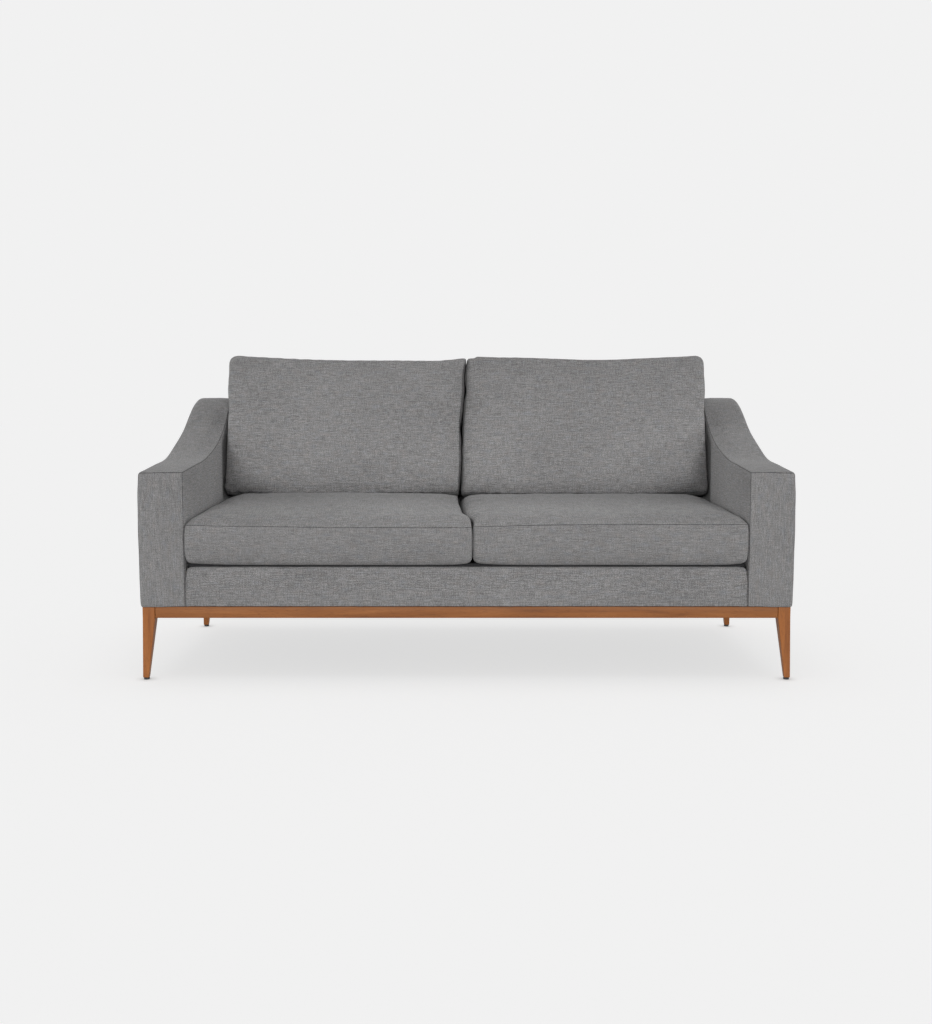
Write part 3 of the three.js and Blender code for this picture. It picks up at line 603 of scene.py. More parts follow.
# Cushions. In a plan x runs along the width, y from the front or lower end, z from the underside or rear
SEAM_STEPS = (0.0014, 0.004, 0.009, 0.016, 0.026)
UNDER_STEPS = (0.003, 0.008, 0.015, 0.026)
CUSHION_STEP, CLOTH_STEP = 0.009, 0.016
TOP_TUCK, UNDER_TUCK, SEAM_SHADE = 0.0016, 0.0012, 1.2
SEAT_SIZE = np.array([0.832, SEAT_REAR - SEAT_FRONT, 0.1154])
SEAT_UNDER_ROUND, SEAT_BULGE, SEAT_TOP_INSET = 0.021, 0.001, 0.0006
SEAT_ROLL, SEAT_ROLL_LENGTH, SEAT_CROWN_DEPTH = 0.0165, 0.027, 0.56
SEAT_FALL, SEAT_FALL_FROM, SEAT_FALL_BEND, SEAT_FALL_START = 0.0875, 0.545, 0.025, 0.0005
SEAT_LOW_CORNER, SEAT_LOW_EDGE, SEAT_OUTER_SAG, SEAT_FRONT_BULGE = 0.0052, 0.0042, 0.0085, 0.003
BACK_SIZE = np.array([0.806, 0.480, 0.150])
BACK_REAR_ROUND, BACK_BULGE, BACK_TOP_INSET = 0.024, 0.004, 0.0015
BACK_SIDE_ROUND, BACK_SIDE_INSET, BACK_FOOT_SPREAD = 0.012, 0.001, 0.003
BACK_SWELL, BACK_LOW_SWELL, BACK_CROWN, BACK_OUTER_FOLD = 0.010, 0.008, 0.030, 0.011


def quarter_round(distance, radius):
    return np.sqrt(1 - (1 - np.clip(distance / radius, 0, 1)) ** 2)


def through(share, values):
    """A smooth line through values spread evenly from share 0 to share 1."""
    spread = np.array([2 * values[0] - values[1], *values, 2 * values[-1] - values[-2]])
    place = np.clip(share, 0, 1) * (len(values) - 1)
    knot = np.minimum(place.astype(int), len(values) - 2)
    t = place - knot
    before, start, end, after = (spread[knot + k] for k in range(4))
    bend = 2 * before - 5 * start + 4 * end - after + t * (3 * (start - end) + after - before)
    return start + 0.5 * t * (end - before + t * bend)


def level_inset(height, under_round, top, bulge, top_inset):
    """How far a cushion's border lies inside its widest outline at each height."""
    low = np.clip(1 - height / under_round, 0, 1)
    share = np.clip((height - under_round) / (top - under_round), 0, 1)
    under = under_round * (1 - np.sqrt(1 - low ** 2))
    return under + bulge * (1 - np.sin(np.pi * share)) + top_inset * smooth(share, 0.86, 1.0)


def round_plan(x, y, size, radii):
    """Rounds the four upright corners of a plan. radii: low left, low right, high left, high right."""
    radius = np.where(y < size[1] / 2, np.where(x < size[0] / 2, radii[0], radii[1]),
                      np.where(x < size[0] / 2, radii[2], radii[3]))
    cx, cy = np.clip(x, radius, size[0] - radius), np.clip(y, radius, size[1] - radius)
    vx, vy = x - cx, y - cy
    length = np.maximum(np.hypot(vx, vy), TINY)
    share = np.where(np.hypot(vx, vy) > TINY, np.maximum(np.abs(vx), np.abs(vy)) / length, 1.0)
    return cx + vx * share, cy + vy * share


def seat_form(points, spec):
    x0, y0, z0 = points.T
    width, length, height = SEAT_SIZE
    x, y = round_plan(x0, y0, SEAT_SIZE, spec["corners"])
    b = 2 * y / length - 1
    share = x / width
    inset = level_inset(z0, SEAT_UNDER_ROUND, height, SEAT_BULGE, SEAT_TOP_INSET)
    left, right = through(y0 / length, spec["left"]), through(y0 / length, spec["right"])
    middle, half = (left + right) / 2, (right - left) / 2
    across = middle + (2 * share - 1) * (half - inset)
    y = length / 2 + b * (length / 2 - inset)
    from_left, from_right = x0, width - x0
    edge = quarter_round(from_left, spec["rounds"][0]) * quarter_round(from_right, spec["rounds"][1])
    crown = spec["crown"] * np.clip(y0 / SEAT_CROWN_DEPTH, 0, 1) ** 0.85
    rise = SEAT_ROLL * (1 - np.exp(-y0 / SEAT_ROLL_LENGTH)) + crown
    fall = y0 - SEAT_FALL_FROM
    rise -= SEAT_FALL * (fall + np.sqrt(fall ** 2 + SEAT_FALL_BEND ** 2)) - SEAT_FALL_START
    rise *= edge * (0.86 + 0.14 * (1 - np.abs(2 * x0 / width - 1) ** 4)) * quarter_round(length - y0, 0.03)
    up = z0 / height
    front = smooth(y0, 0.30, 0.0)
    z = z0 + np.where(z0 > height - ON_FACE, rise, 0.0) + up * through(x0 / width, spec["seam"]) * front
    low_corners = SEAT_LOW_CORNER * np.exp(-from_left / spec["lifts"][0])
    low_corners += SEAT_LOW_CORNER * np.exp(-from_right / spec["lifts"][1])
    z -= (SEAT_LOW_EDGE - low_corners) * (1 - up) ** 2 * smooth(y0, 0.034, 0.004)
    from_outer = from_right if spec["outer"] else from_left
    z -= up * SEAT_OUTER_SAG * smooth(from_outer, 0.085, 0.004) * smooth(y0, 0.24, 0.48)
    ahead = SEAT_FRONT_BULGE * np.sin(np.pi * up) * smooth(y0, 0.05, 0.0)
    return np.stack([across, SEAT_FRONT + y - ahead, SEAT_BOTTOM + z], 1)


def back_form(points, spec):
    x0, y0, z0 = points.T
    width, length, height = BACK_SIZE
    x, y = round_plan(x0, y0, BACK_SIZE, spec["corners"])
    share, up = x0 / width, y0 / length
    inset = level_inset(z0, BACK_REAR_ROUND, height, BACK_BULGE, BACK_TOP_INSET)
    flat_inset = level_inset(z0, BACK_SIDE_ROUND, height, 0.0, BACK_SIDE_INSET)
    opening = through(up, spec["opening"]) * smooth(z0, 0.25 * height, 0.8 * height)
    left, right = through(up, spec["left"]) + flat_inset, through(up, spec["right"]) - flat_inset
    across = left + (right - left) * x / width + opening * np.abs(share - spec["outer"])
    foot = BACK_FOOT_SPREAD * (2 * share - 1) * np.abs(share + spec["outer"] - 1)
    across += foot * smooth(up, 0.22, 0.03) * smooth(z0, 0.07, 0.12)
    from_outer = np.where(spec["outer"] > 0, width - x0, x0)
    y = length / 2 + (2 * y / length - 1) * (length / 2 - inset)
    front = z0 / height
    low_bend = through(share, spec["bottom"]) * (1 - up) ** 3
    y += through(share, spec["top"]) * up ** 2 + low_bend * (0.3 + 0.7 * front)
    y -= spec["ear"] * smooth(x0, 0.036, 0.024) * up ** 6 * (0.4 + 0.6 * front)
    edge = quarter_round(width - from_outer, spec["inner_round"])
    edge *= quarter_round(from_outer, 0.018 + 0.045 * smooth(up, 0.32, 0.0))
    edge *= quarter_round(length - y0, 0.020) * quarter_round(y0, 0.042)
    crown = (1 - np.abs(2 * share - 1) ** 3) * (1 - np.abs(2 * up - 1) ** 3)
    bulge = BACK_SWELL + BACK_LOW_SWELL * smooth(up, 0.3, 0.0)
    z = z0 + np.where(z0 > height - ON_FACE, bulge * edge + BACK_CROWN * crown, 0.0)
    fold = spec["fold"] * (1 - quarter_round(width - from_outer, 0.030))
    fold += BACK_OUTER_FOLD * smooth(up, 0.34, 0.02) * (1 - quarter_round(from_outer, 0.055))
    z -= fold * front ** 2
    lean_sin, lean_cos = math.sin(BACK_LEAN), math.cos(BACK_LEAN)
    return np.stack([across, BACK_CORNER[0] + y * lean_sin - z * lean_cos,
                     BACK_CORNER[1] + y * lean_cos + z * lean_sin], 1)


def point_normals(points, quads):
    corners = points[quads]
    across = np.cross(corners[:, 2] - corners[:, 0], corners[:, 3] - corners[:, 1])
    total = np.zeros_like(points)
    for k in range(4):
        np.add.at(total, quads[:, k], across)
    return total / np.maximum(np.linalg.norm(total, axis=1), 1e-12)[:, None]


CLOTH_FRAMES = 24
CLOTH_SETTINGS = {"vertex_group_mass": "held", "quality": 6, "mass": 0.25, "tension_stiffness": 22,
                  "compression_stiffness": 22, "shear_stiffness": 9, "bending_stiffness": 0.6,
                  "use_pressure": True, "uniform_pressure_force": 1.5}


def simulate(form, size, spec, name):
    """Fills a slack copy of the cushion with air, its seams held, and returns where it started and how each
    point moved."""
    box_points, quads, _ = box_lattice((0, 0, 0), size, CLOTH_STEP, ())
    start = form(box_points, spec)
    slack = add_mesh(f"{name}_slack", start, quads, FABRIC)
    at_low, at_high = at_faces(box_points, 0, size)
    held = ((at_low | at_high).sum(1) > 1) | at_low[:, 2]
    group = slack.vertex_groups.new(name="held")
    group.add(np.nonzero(held)[0].tolist(), 1.0, "REPLACE")
    cloth = slack.modifiers.new("cloth", "CLOTH")
    for key, value in CLOTH_SETTINGS.items():
        setattr(cloth.settings, key, value)
    cloth.settings.shrink_min = spec["slack"]
    cloth.settings.effector_weights.gravity = 0
    cloth.point_cache.frame_start, cloth.point_cache.frame_end = 1, CLOTH_FRAMES
    scene = bpy.context.scene
    for step in range(1, CLOTH_FRAMES + 1):
        scene.frame_set(step)
    graph = bpy.context.evaluated_depsgraph_get()
    moved = np.zeros(len(start) * 3)
    result = slack.evaluated_get(graph).data
    result.vertices.foreach_get("co", moved)
    move = moved.reshape(-1, 3) - start
    scene.frame_set(1)
    bpy.data.objects.remove(slack)
    return start, move


def spread_moves(start, move, points, cap, reach=0.014, wide=0.09):
    """The simulated moves at other points, less their broad swelling and capped."""
    tree = KDTree(len(start))
    for i, place in enumerate(start):
        tree.insert(place, i)
    tree.balance()
    coarse = np.zeros_like(move)
    for i, place in enumerate(start):
        near = tree.find_range(place, wide)
        weights = np.exp([-(d / (0.5 * wide)) ** 2 for _, _, d in near])
        coarse[i] = weights @ move[[k for _, k, _ in near]] / weights.sum()
    detail = move - coarse
    size = np.linalg.norm(detail, axis=1)[:, None]
    detail *= np.tanh(size / cap) * cap / np.maximum(size, TINY)
    found = np.zeros_like(points)
    for i, place in enumerate(points):
        near = tree.find_n(place, 7)
        weights = np.exp([-(d / reach) ** 2 for _, _, d in near]) + 1e-12
        found[i] = weights @ detail[[k for _, k, _ in near]] / weights.sum()
    return found


def ripples(run, length, seed):
    """Unevenness along a seam, from about -1 to 1."""
    draw = np.random.default_rng(seed)
    total = np.zeros_like(run)
    for _ in range(9):
        total += np.sin(run * 2 * np.pi / (length * draw.uniform(0.7, 2.4)) + draw.uniform(0, 2 * np.pi))
    return total / 5


def make_cushion(kind, side, spec):
    form, size, body, seed = spec["form"], spec["size"], f"{kind}_cushion_{side}", spec["seed"]
    name = f"{kind}_pad_{side}"
    xs, ys = (ruler(0, size[k], CUSHION_STEP, *SEAM_STEPS) for k in range(2))
    top = size[2]
    rising = np.linspace(UNDER_STEPS[-1], top - SEAM_STEPS[2], 8)
    zs = np.unique([0, *UNDER_STEPS, *rising, top - SEAM_STEPS[1], top - SEAM_STEPS[0], top])
    box_points, quads, sides = lattice(xs, ys, zs)
    points = form(box_points, spec)
    start, move = simulate(form, size, spec, name)
    points += spread_moves(start, move, points, spec["cap"])
    normals = point_normals(points, quads)
    x, y, z = box_points.T
    at_low, at_high = at_faces(box_points, 0, size)
    rim = (at_low | at_high)[:, :2].any(1)
    on_cap = at_high[:, 2]
    seam, low_seam = rim & on_cap, rim & at_low[:, 2]
    from_side = np.minimum(box_points[:, :2], size[:2] - box_points[:, :2]).min(1)
    from_seam = np.where(on_cap, from_side, top - z)
    pucker = ripples(x + 1.3 * y, 0.026, seed) * np.exp(-from_seam / 0.016) * spec["pucker"](box_points, size)
    broad = 0.0009 * waves(box_points, 0.16, seed + 1) * swell(from_side, 0.05) * on_cap
    broad += 0.0007 * waves(box_points, 0.12, seed + 2) * swell(from_seam, 0.05) * swell(z, 0.04) * ~on_cap
    points += normals * (pucker * ~seam + broad)[:, None]
    points[seam] -= TOP_TUCK * normals[seam]
    points[low_seam] -= UNDER_TUCK * normals[low_seam]
    seen_depth = np.minimum(y, spec["roll"]) + np.maximum(y - spec["roll"], 0) / spec["coarse"]
    cloth = weave_places(np.stack([x, seen_depth, z], 1), quads, sides, seed)
    # Painted light and shade: the cap's from its kind's function, the border's as one lift for the whole border
    painted_light = np.where(on_cap, spec["painted_shading"](box_points, size, spec["outer"]), spec["border_painted_light"])
    cushion = add_mesh(name, points, quads, spec["fabrics"], cloth, SEAM_SHADE * (seam | low_seam),
                       sides == PLUS_Z, painted_light)
    return finish_piece(cushion, body, "cushion", f"{body}_cover")


# Painted light and shade on a seat's top: darker towards the rear, where the back cushions shade it, lighter at
# the front, and a painted shadow of the arm near the outer rear
def seat_painted_shading(points, size, outer):
    from_outer = np.abs(points[:, 0] - size[0] * outer)
    shaded = smooth(points[:, 1], 0.24, 0.36) * smooth(from_outer, 0.30, 0.08)
    return -0.25 + 0.34 * smooth(points[:, 1], 0.46, 0.12) - 0.10 * shaded


# Painted light and shade on a back cushion's front: lighter towards the foot and darker towards the top, darker
# again along the bottom edge, and painted shade in the lower corners, deepest at the outer one beside the arm
def back_painted_shading(points, size, outer):
    up = points[:, 1] / size[1]
    from_side = np.minimum(points[:, 0], size[0] - points[:, 0])
    painted_corner_shade = smooth(up, 0.2, 0.0) * smooth(from_side, 0.2, 0.03)
    from_outer = np.abs(points[:, 0] - size[0] * outer)
    painted_corner_shade += 0.9 * smooth(up, 0.18, 0.03) * smooth(from_outer, 0.34, 0.08)
    return 0.150 + 0.121 * up - 0.364 * up ** 2 - 0.12 * smooth(up, 0.09, 0.0) - 0.16 * painted_corner_shade


def seat_pucker(points, size):
    return 0.0003


def back_pucker(points, size):
    up = points[:, 1] / size[1]
    near_arm = smooth(np.abs(2 * points[:, 0] / size[0] - 1), 0.3, 0.8)
    return 0.0004 + (0.0016 + 0.0024 * near_arm) * smooth(up, 0.2, 0.0)


# What a kind's cushions share: core is the foam's length and height, zip_out how far back the zip lies
KINDS = {
    # The cap's and the border's lighter and darker tones are painted light and shade
    "seat": {"form": seat_form, "size": SEAT_SIZE, "slack": -0.012, "cap": 0.004, "fill": 0.8,
             "pucker": seat_pucker, "painted_shading": seat_painted_shading, "border_painted_light": 0.045, "roll": 0.03, "coarse": 2.2,
             "fabrics": [FABRIC_SMOOTH, FABRIC_TOP], "core": (0.6359, 0.0874), "zip_out": 0.0035},
    "back": {"form": back_form, "size": BACK_SIZE, "slack": -0.015, "cap": 0.005, "fill": 0.75,
             "pucker": back_pucker, "painted_shading": back_painted_shading, "border_painted_light": 0.0, "roll": 1.0, "coarse": 1.0,
             "fabrics": [FABRIC, FABRIC], "core": (0.408, 0.128), "zip_out": 0.0},
}

# How far aside the cushions' edges run, from their front or lower end on
SEAT_SPLIT = (0.0178, 0.0140, -0.0062, -0.0125, -0.0182, -0.0221, -0.0242, -0.0262, -0.0275)
SEAT_OUTER = (*[0.8176] * 5, 0.8172, 0.8125, 0.8035, 0.8015)
SEAT_GAP = 0.0004
BACK_SPLIT = (-0.0225, -0.0194, -0.0167, -0.0165, -0.0158, -0.0115, -0.0058, -0.0058, 0.0004)
BACK_OUTER = (0.8172, 0.8164, 0.8146, 0.8128, 0.8107, 0.8093, 0.8133, 0.8107, 0.8083)
BACK_GAP = 0.0002


def outlines(split, outer, gap):
    """The left and right edges of the two cushions at either side of a split."""
    split, outer = np.array(split), np.array(outer)
    return {"left": {"left": -outer, "right": split - gap / 2},
            "right": {"left": split + gap / 2, "right": outer}}


EDGES = {"seat": outlines(SEAT_SPLIT, SEAT_OUTER, SEAT_GAP), "back": outlines(BACK_SPLIT, BACK_OUTER, BACK_GAP)}
SEATS = {
    "left": {"seed": 101, "outer": 0, "crown": 0.0372, "rounds": (0.026, 0.006), "lifts": (0.075, 0.030),
             "corners": (0.005, 0.008, 0.014, 0.016), "seam": (0.0002, -0.0028, -0.0063, -0.0061, -0.0060)},
    "right": {"seed": 131, "outer": 1, "crown": 0.0342, "rounds": (0.036, 0.026), "lifts": (0.050, 0.030),
              "corners": (0.014, 0.005, 0.016, 0.014), "seam": (-0.0030, 0.0012, 0.0022, 0.0026, 0.0030)},
}
BACKS = {
    "left": {"seed": 151, "outer": 0, "inner_round": 0.007, "fold": 0.0, "ear": 0.0,
             "corners": (0.014, 0.012, 0.028, 0.0085),
             "top": (0.0035, -0.0010, -0.0068, -0.0115, -0.0150, -0.0150, -0.0149, -0.0140, -0.0055),
             "bottom": (0.0045, *[0.0010] * 7, 0.0020),
             "opening": (-0.0040, -0.0031, -0.0022, -0.0040, -0.0062, -0.0040, -0.0040, -0.0036, 0.0)},
    "right": {"seed": 181, "outer": 1, "inner_round": 0.040, "fold": 0.014, "ear": 0.0055,
              "corners": (0.014, 0.014, 0.0085, 0.028),
              "top": (-0.0005, -0.0020, -0.0055, -0.0092, -0.0128, -0.0120, -0.0068, -0.0008, 0.0035),
              "bottom": (0.0020, *[0.0] * 6, 0.0010, 0.0045),
              "opening": (0.0030, 0.0026, 0.0018, 0.0030, 0.0040, 0.0030, 0.0030, 0.0024, 0.0)},
}


def make_cushions():
    for side, _ in SIDES:
        made = make_cushion("seat", side, {**KINDS["seat"], **SEATS[side], **EDGES["seat"][side]})
        if side == "right":
            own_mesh(made)
        made = make_cushion("back", side, {**KINDS["back"], **BACKS[side], **EDGES["back"][side]})
        if side == "right":
            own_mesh(made)
        for kind in KINDS:
            make_core(kind, side)
            make_zip(kind, side)


def place_in_body(points, kind, centre):
    """Turns points of a back cushion's piece to the back's lean, and moves them to their place."""
    if kind == "back":
        lean_sin, lean_cos = math.sin(BACK_LEAN), math.cos(BACK_LEAN)
        y, z = points[:, 1].copy(), points[:, 2].copy()
        points[:, 1] = y * lean_sin - z * lean_cos
        points[:, 2] = y * lean_cos + z * lean_sin
    points += centre


CORE_ROUND = 0.018
CORE_SHARES = (1 / 9, 1 / 3, 2 / 3, 1)


def make_core(kind, side):
    """The foam inside a cushion."""
    body = f"{kind}_cushion_{side}"
    low, high = node_box(f"{body}_core")
    half = np.array([high[0] - low[0], *KINDS[kind]["core"]]) / 2
    box_points, points, quads = rounded_box(-half, half, CORE_ROUND, 0.035, CORE_SHARES)
    points += puffed(box_points, -half, half, FLAT, 7, 0.05, 0.0006)
    place_in_body(points, kind, (low + high) / 2)
    foam = add_mesh(f"{kind}_foam_{side}", points, quads, FOAM)
    finish_piece(foam, body, "foam", f"{body}_core")


# A zip's parts: their half sizes along, through and across the tape, and how far from its middle they lie
TAPE_HALF, TAPE_ASIDE = (0.0005, 0.0058), 0.0065
TOOTH_HALF, TOOTH_PITCH, TOOTH_OUT = (0.0012, 0.0009, 0.0021), 0.004, 0.0009
SLIDER_HALF, SLIDER_OUT, SLIDER_FROM_END = (0.0050, 0.0012, 0.0045), 0.0022, 0.02
PULL_HALF, PULL_OUT, PULL_AHEAD = (0.0085, 0.0006, 0.0028), 0.0030, 0.011


def make_zip(kind, side):
    """A closed zip in a cushion's rear or lower border: two tapes, a row of teeth across their meeting edges,
    and a slider with its pull."""
    body = f"{kind}_cushion_{side}"
    low, high = node_box(f"{body}_zip")
    half_length = (high[0] - low[0]) / 2
    parts = [((0.0, 0.0, aside), (half_length, *TAPE_HALF), 0, 0.03) for aside in (TAPE_ASIDE, -TAPE_ASIDE)]
    count = int(2 * half_length / TOOTH_PITCH) - 2
    for i in range(count):
        place = ((i - (count - 1) / 2) * TOOTH_PITCH, -TOOTH_OUT, TOOTH_OUT * (1 if i % 2 else -1))
        parts.append((place, TOOTH_HALF, 1, 1.0))
    slider = half_length - SLIDER_FROM_END
    parts += [((slider, -SLIDER_OUT, 0.0), SLIDER_HALF, 1, 1.0),
              ((slider + PULL_AHEAD, -PULL_OUT, 0.0), PULL_HALF, 1, 1.0)]
    all_points, all_quads, panels = [], [], []
    total = 0
    for place, half, panel, step in parts:
        half = np.array(half)
        _, points, quads = rounded_box(-half, half, 0.3 * half.min(), step, (1.0,))
        all_points.append(points + place)
        all_quads.append(quads + total)
        panels += [panel] * len(quads)
        total += len(points)
    points, quads = np.concatenate(all_points), np.concatenate(all_quads)
    if kind == "seat":
        points[:, 1] *= -1
        quads = quads[:, ::-1]
    place_in_body(points, kind, (low + high) / 2 + (0.0, KINDS[kind]["zip_out"], 0.0))
    piece = add_mesh(f"{kind}_zip_{side}", points, quads, [ZIP_TAPE, ZIP_TEETH], panels=np.array(panels))
    finish_piece(piece, body, "zip", f"{body}_zip")


# Wooden base
BLOCK_ROUND = 0.0016
LEG_ROUND = 0.0022
LEG_SHARES = (0.12, 0.4, 0.7, 1.0)
GLIDE_PROFILE = [(0.0, 0.0), (0.0066, 0.0), (0.0078, 0.0003), (0.0084, 0.0011), (0.0085, 0.0022),
                 (0.0085, 0.0052), (0.0083, 0.0058), (0.0077, 0.0060), (0.0026, 0.0060), (0.0025, 0.0064),
                 (0.0025, 0.0196), (0.0021, 0.02), (0.0, 0.02)]
GLIDE_SIDES = 40


def block(name, low, high, material, node):
    _, points, quads = rounded_box(low, high, BLOCK_ROUND, 0.03)
    return finish_piece(add_mesh(name, points, quads, material), "frame", "wood", node)


def make_leg(end, end_sign, side, side_sign):
    """A tapered, slightly splayed leg with its glide."""
    near = tuple(LEG_ROUND * share for share in LEG_SHARES)
    low, high = np.array([0, 0, LEG_UNDERSIDE]), np.array([LEG_TOP, LEG_TOP, RAIL_TOP])
    across = ruler(0, LEG_TOP, 0.006, *near)
    heights = np.unique(np.append(ruler(low[2], high[2], 0.012, *near), RAIL_UNDERSIDE))
    box_points, quads, _ = lattice(across, across, heights)
    points = rounded(box_points, low, high, LEG_ROUND)
    up = np.clip((points[:, 2] - LEG_UNDERSIDE) / (RAIL_UNDERSIDE - LEG_UNDERSIDE), 0, 1)
    size = (LEG_FOOT + (LEG_TOP - LEG_FOOT) * up) / LEG_TOP
    x = LEG_OUTER[0] + LEG_PROUD + LEG_SPLAY * (1 - up) - (LEG_TOP - points[:, 0]) * size
    y = LEG_OUTER[1] - (LEG_TOP - points[:, 1]) * size
    points = np.stack([side_sign * x, end_sign * y, points[:, 2]], 1)
    if side_sign * end_sign < 0:
        quads = quads[:, ::-1]
    leg = add_mesh(f"wooden_leg_{end}_{side}", points, quads, WOOD_Z)
    finish_piece(leg, "frame", "wood", f"leg_{end}_{side}")
    centre = (side_sign * (LEG_OUTER[0] + LEG_SPLAY - LEG_FOOT / 2), end_sign * (LEG_OUTER[1] - LEG_FOOT / 2))
    foot = turned(f"foot_glide_{end}_{side}", centre, GLIDE_PROFILE, GLIDE_SIDES, GLIDE)
    finish_piece(foot, "frame", "glide", f"glide_{end}_{side}")


def turned(name, centre, profile, count, material):
    """A turned solid on an upright axis, from its profile of (radius, height)."""
    angles = np.linspace(0, 2 * np.pi, count, endpoint=False)
    points = [(centre[0] + radius * math.cos(a), centre[1] + radius * math.sin(a), height)
              for radius, height in profile[1:-1] for a in angles]
    around = [(i, (i + 1) % count) for i in range(count)]
    last = len(points) - count
    faces = [(ring + i, ring + j, ring + count + j, ring + count + i)
             for ring in range(0, last, count) for i, j in around]
    low, high = len(points), len(points) + 1
    points += [(*centre, profile[0][1]), (*centre, profile[-1][1])]
    faces += [(low, j, i) for i, j in around] + [(high, last + i, last + j) for i, j in around]
    data = bpy.data.meshes.new(name)
    data.from_pydata(points, [], faces)
    data.polygons.foreach_set("use_smooth", [True] * len(data.polygons))
    data.materials.append(material)
    return add_object(name, data)


def make_base():
    inner_x, inner_y = (outer - LEG_TOP - RAIL_GAP for outer in LEG_OUTER)
    for end, sign in (("front", -1), ("rear", 1)):
        y0, y1 = sorted((sign * LEG_OUTER[1], sign * (LEG_OUTER[1] - RAIL_THICK)))
        block(f"wooden_rail_{end}", (-inner_x, y0, RAIL_UNDERSIDE), (inner_x, y1, RAIL_TOP), WOOD_X,
              f"base_rail_{end}")
        for side, side_sign in SIDES:
            make_leg(end, sign, side, side_sign)
    for side, sign in SIDES:
        x0, x1 = sorted((sign * LEG_OUTER[0], sign * (LEG_OUTER[0] - RAIL_THICK)))
        block(f"wooden_rail_{side}", (x0, -inner_y, RAIL_UNDERSIDE), (x1, inner_y, RAIL_TOP), WOOD_Y,
              f"base_rail_{side}")
    block("wooden_cross_rail", *node_box("base_cross_rail"), WOOD_Y, "base_cross_rail")


# CAD nodes that keep their own shapes, with the axis of their grain
GRAIN = {"seat_rail_front": 0, "seat_rail_rear": 0, "seat_rail_left": 1, "seat_rail_right": 1,
         "seat_rail_centre": 1, "arm_board": 2, "arm_top_rail": 1, "back_post": 2, "back_top_rail": 0,
         "back_lower_rail": 0, "corner_block": 2}


def dress_cad_nodes():
    for name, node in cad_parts.items():
        found = [axis for start, axis in GRAIN.items() if name.startswith(start)]
        material = TIMBER[found[0]] if found else STEEL if name.startswith("leg_bolt") else None
        if material:
            node.data.materials.clear()
            node.data.materials.append(material)


# Floor, backdrop and light. A sun is its degrees aside and up, power and degrees across, one at each side
PALE = 0.88
WORLD_LIGHT = 0.29
FLOOR_COLOR = 0.76
FLOOR_SEEN_COLOR = 0.45
FLOOR_REACH = 30.0
OBJECT_SUNS = ((15, 12, 0.92, 12), (90, 20, 1.10, 25))
FLOOR_SUNS = ((0, 90, 0.235, 50),)
# How far the floor's painted contact shadow reaches, and how many samples it takes
CONTACT_REACH = 0.03
CONTACT_SAMPLES = 12


def seen_plainly(tree):
    """1 where the camera sees a surface, also by way of metal or glass, and 0 where the surface only lights
    others."""
    path = add_node(tree, "LightPath")
    seen = path.outputs["Is Camera Ray"]
    for ray in ("Is Glossy Ray", "Is Transmission Ray"):
        seen = add_node(tree, "Math", {"operation": "MAXIMUM"}, _0=seen, _1=path.outputs[ray]).outputs[0]
    return seen


def empty_tree(owner):
    owner.use_nodes = True
    owner.node_tree.nodes.clear()
    return owner.node_tree


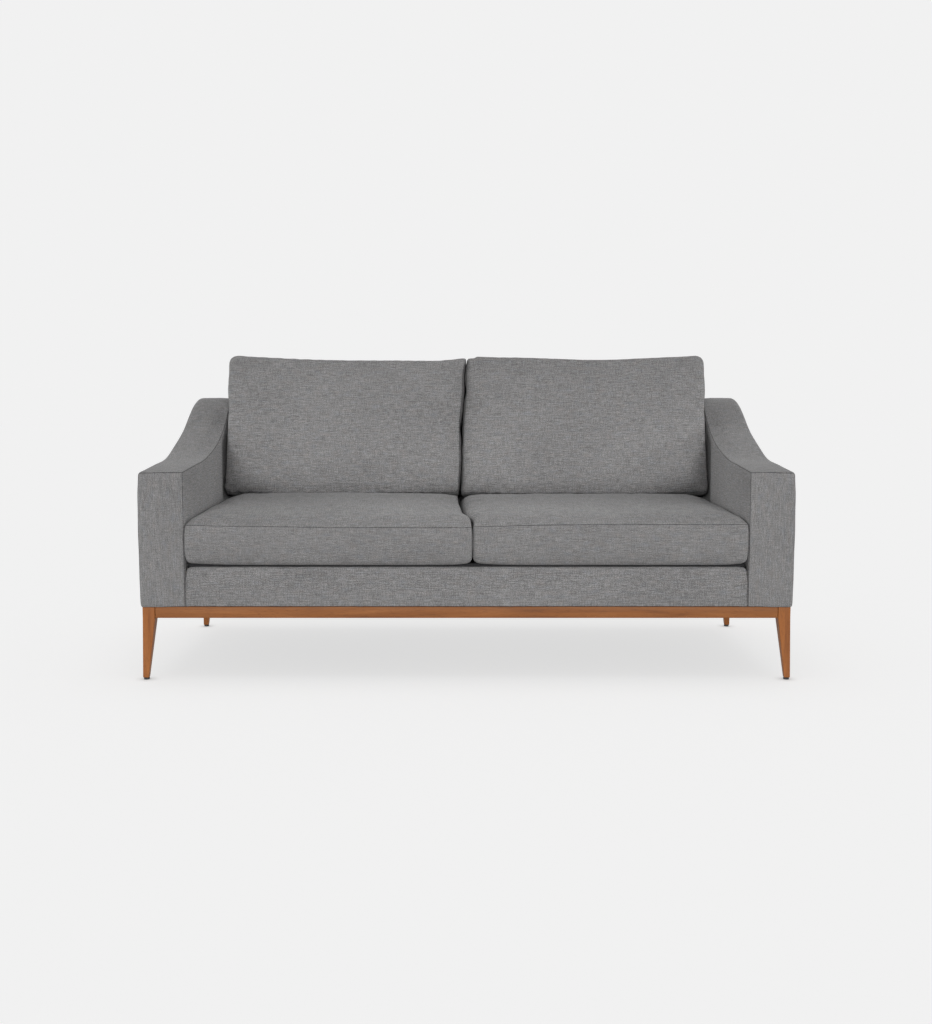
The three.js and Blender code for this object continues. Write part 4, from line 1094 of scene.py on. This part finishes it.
def make_floor():
    """The floor. It glows for the camera, so that it has the backdrop's tone away from the settee's shadow, and
    its glow is darkened near the glides and legs as a painted contact shadow.
    """
    data = bpy.data.meshes.new("floor")
    corners = [(x * FLOOR_REACH, y * FLOOR_REACH, 0) for x, y in ((-1, -1), (1, -1), (1, 1), (-1, 1))]
    data.from_pydata(corners, [], [(0, 1, 2, 3)])
    material = bpy.data.materials.new("floor")
    data.materials.append(material)
    tree = empty_tree(material)
    seen = seen_plainly(tree)
    tint = add_node(tree, "MapRange", Value=seen, To_Min=FLOOR_COLOR, To_Max=FLOOR_SEEN_COLOR)
    diffuse = add_node(tree, "BsdfDiffuse", Color=tint.outputs[0])
    falling = WORLD_LIGHT + sum(2 * power * math.sin(math.radians(height)) / math.pi
                                for _, height, power, _ in FLOOR_SUNS)
    times = {"operation": "MULTIPLY"}
    own = add_node(tree, "Math", times, _0=seen, _1=PALE - FLOOR_SEEN_COLOR * falling)
    # Painted contact shadow: ambient occlusion darkens the floor's glow near the glides and legs
    contact_shade = add_node(tree, "AmbientOcclusion", {"samples": CONTACT_SAMPLES}, Distance=CONTACT_REACH)
    near = add_node(tree, "Math", times, _0=own.outputs[0], _1=contact_shade.outputs["AO"])
    glow = add_node(tree, "Emission", Strength=near.outputs[0])
    both = add_node(tree, "AddShader", _0=diffuse.outputs[0], _1=glow.outputs[0])
    add_node(tree, "OutputMaterial", _0=both.outputs[0])
    floor = add_object("floor", data)
    return floor


def make_backdrop():
    world = bpy.data.worlds.new("studio")
    bpy.context.scene.world = world
    tree = empty_tree(world)
    light = add_node(tree, "Background", Color=(1, 1, 1, 1), Strength=WORLD_LIGHT)
    backdrop = add_node(tree, "Background", Color=(PALE, PALE, PALE, 1))
    mix = add_node(tree, "MixShader", _0=seen_plainly(tree), _1=light.outputs[0],
                   _2=backdrop.outputs[0])
    add_node(tree, "OutputWorld", _0=mix.outputs[0])


def make_suns(floor):
    """Suns that light everything but the floor, and others that light only the floor."""
    linked = {}
    for kind, state in (("object", "EXCLUDE"), ("floor", "INCLUDE")):
        linked[kind] = bpy.data.collections.new(f"lit_{kind}")
        linked[kind].objects.link(floor)
        linked[kind].collection_objects[0].light_linking.link_state = state
    suns = [("object", *sun) for sun in OBJECT_SUNS] + [("floor", *sun) for sun in FLOOR_SUNS]
    for number, (kind, aside, height, power, softness) in enumerate(suns):
        aside, height = math.radians(aside), math.radians(height)
        for side, sign in (("left", 1), ("right", -1)):
            name = f"sun_{number}_{side}"
            data = bpy.data.lights.new(name, "SUN")
            data.energy = power
            data.angle = math.radians(softness)
            sun = add_object(name, data)
            sun.light_linking.receiver_collection = linked[kind]
            shining = Vector((sign * math.sin(aside) * math.cos(height), math.cos(aside) * math.cos(height),
                              -math.sin(height)))
            sun.rotation_euler = shining.to_track_quat("-Z", "Y").to_euler()


for arm_side, arm_sign in SIDES:
    make_arm(arm_side, arm_sign)
make_back_cover()
make_apron()
make_inner_cloth()
make_cushions()
make_base()
dress_cad_nodes()
make_backdrop()
make_suns(make_floor())
bpy.context.scene.view_settings.view_transform = "Standard"
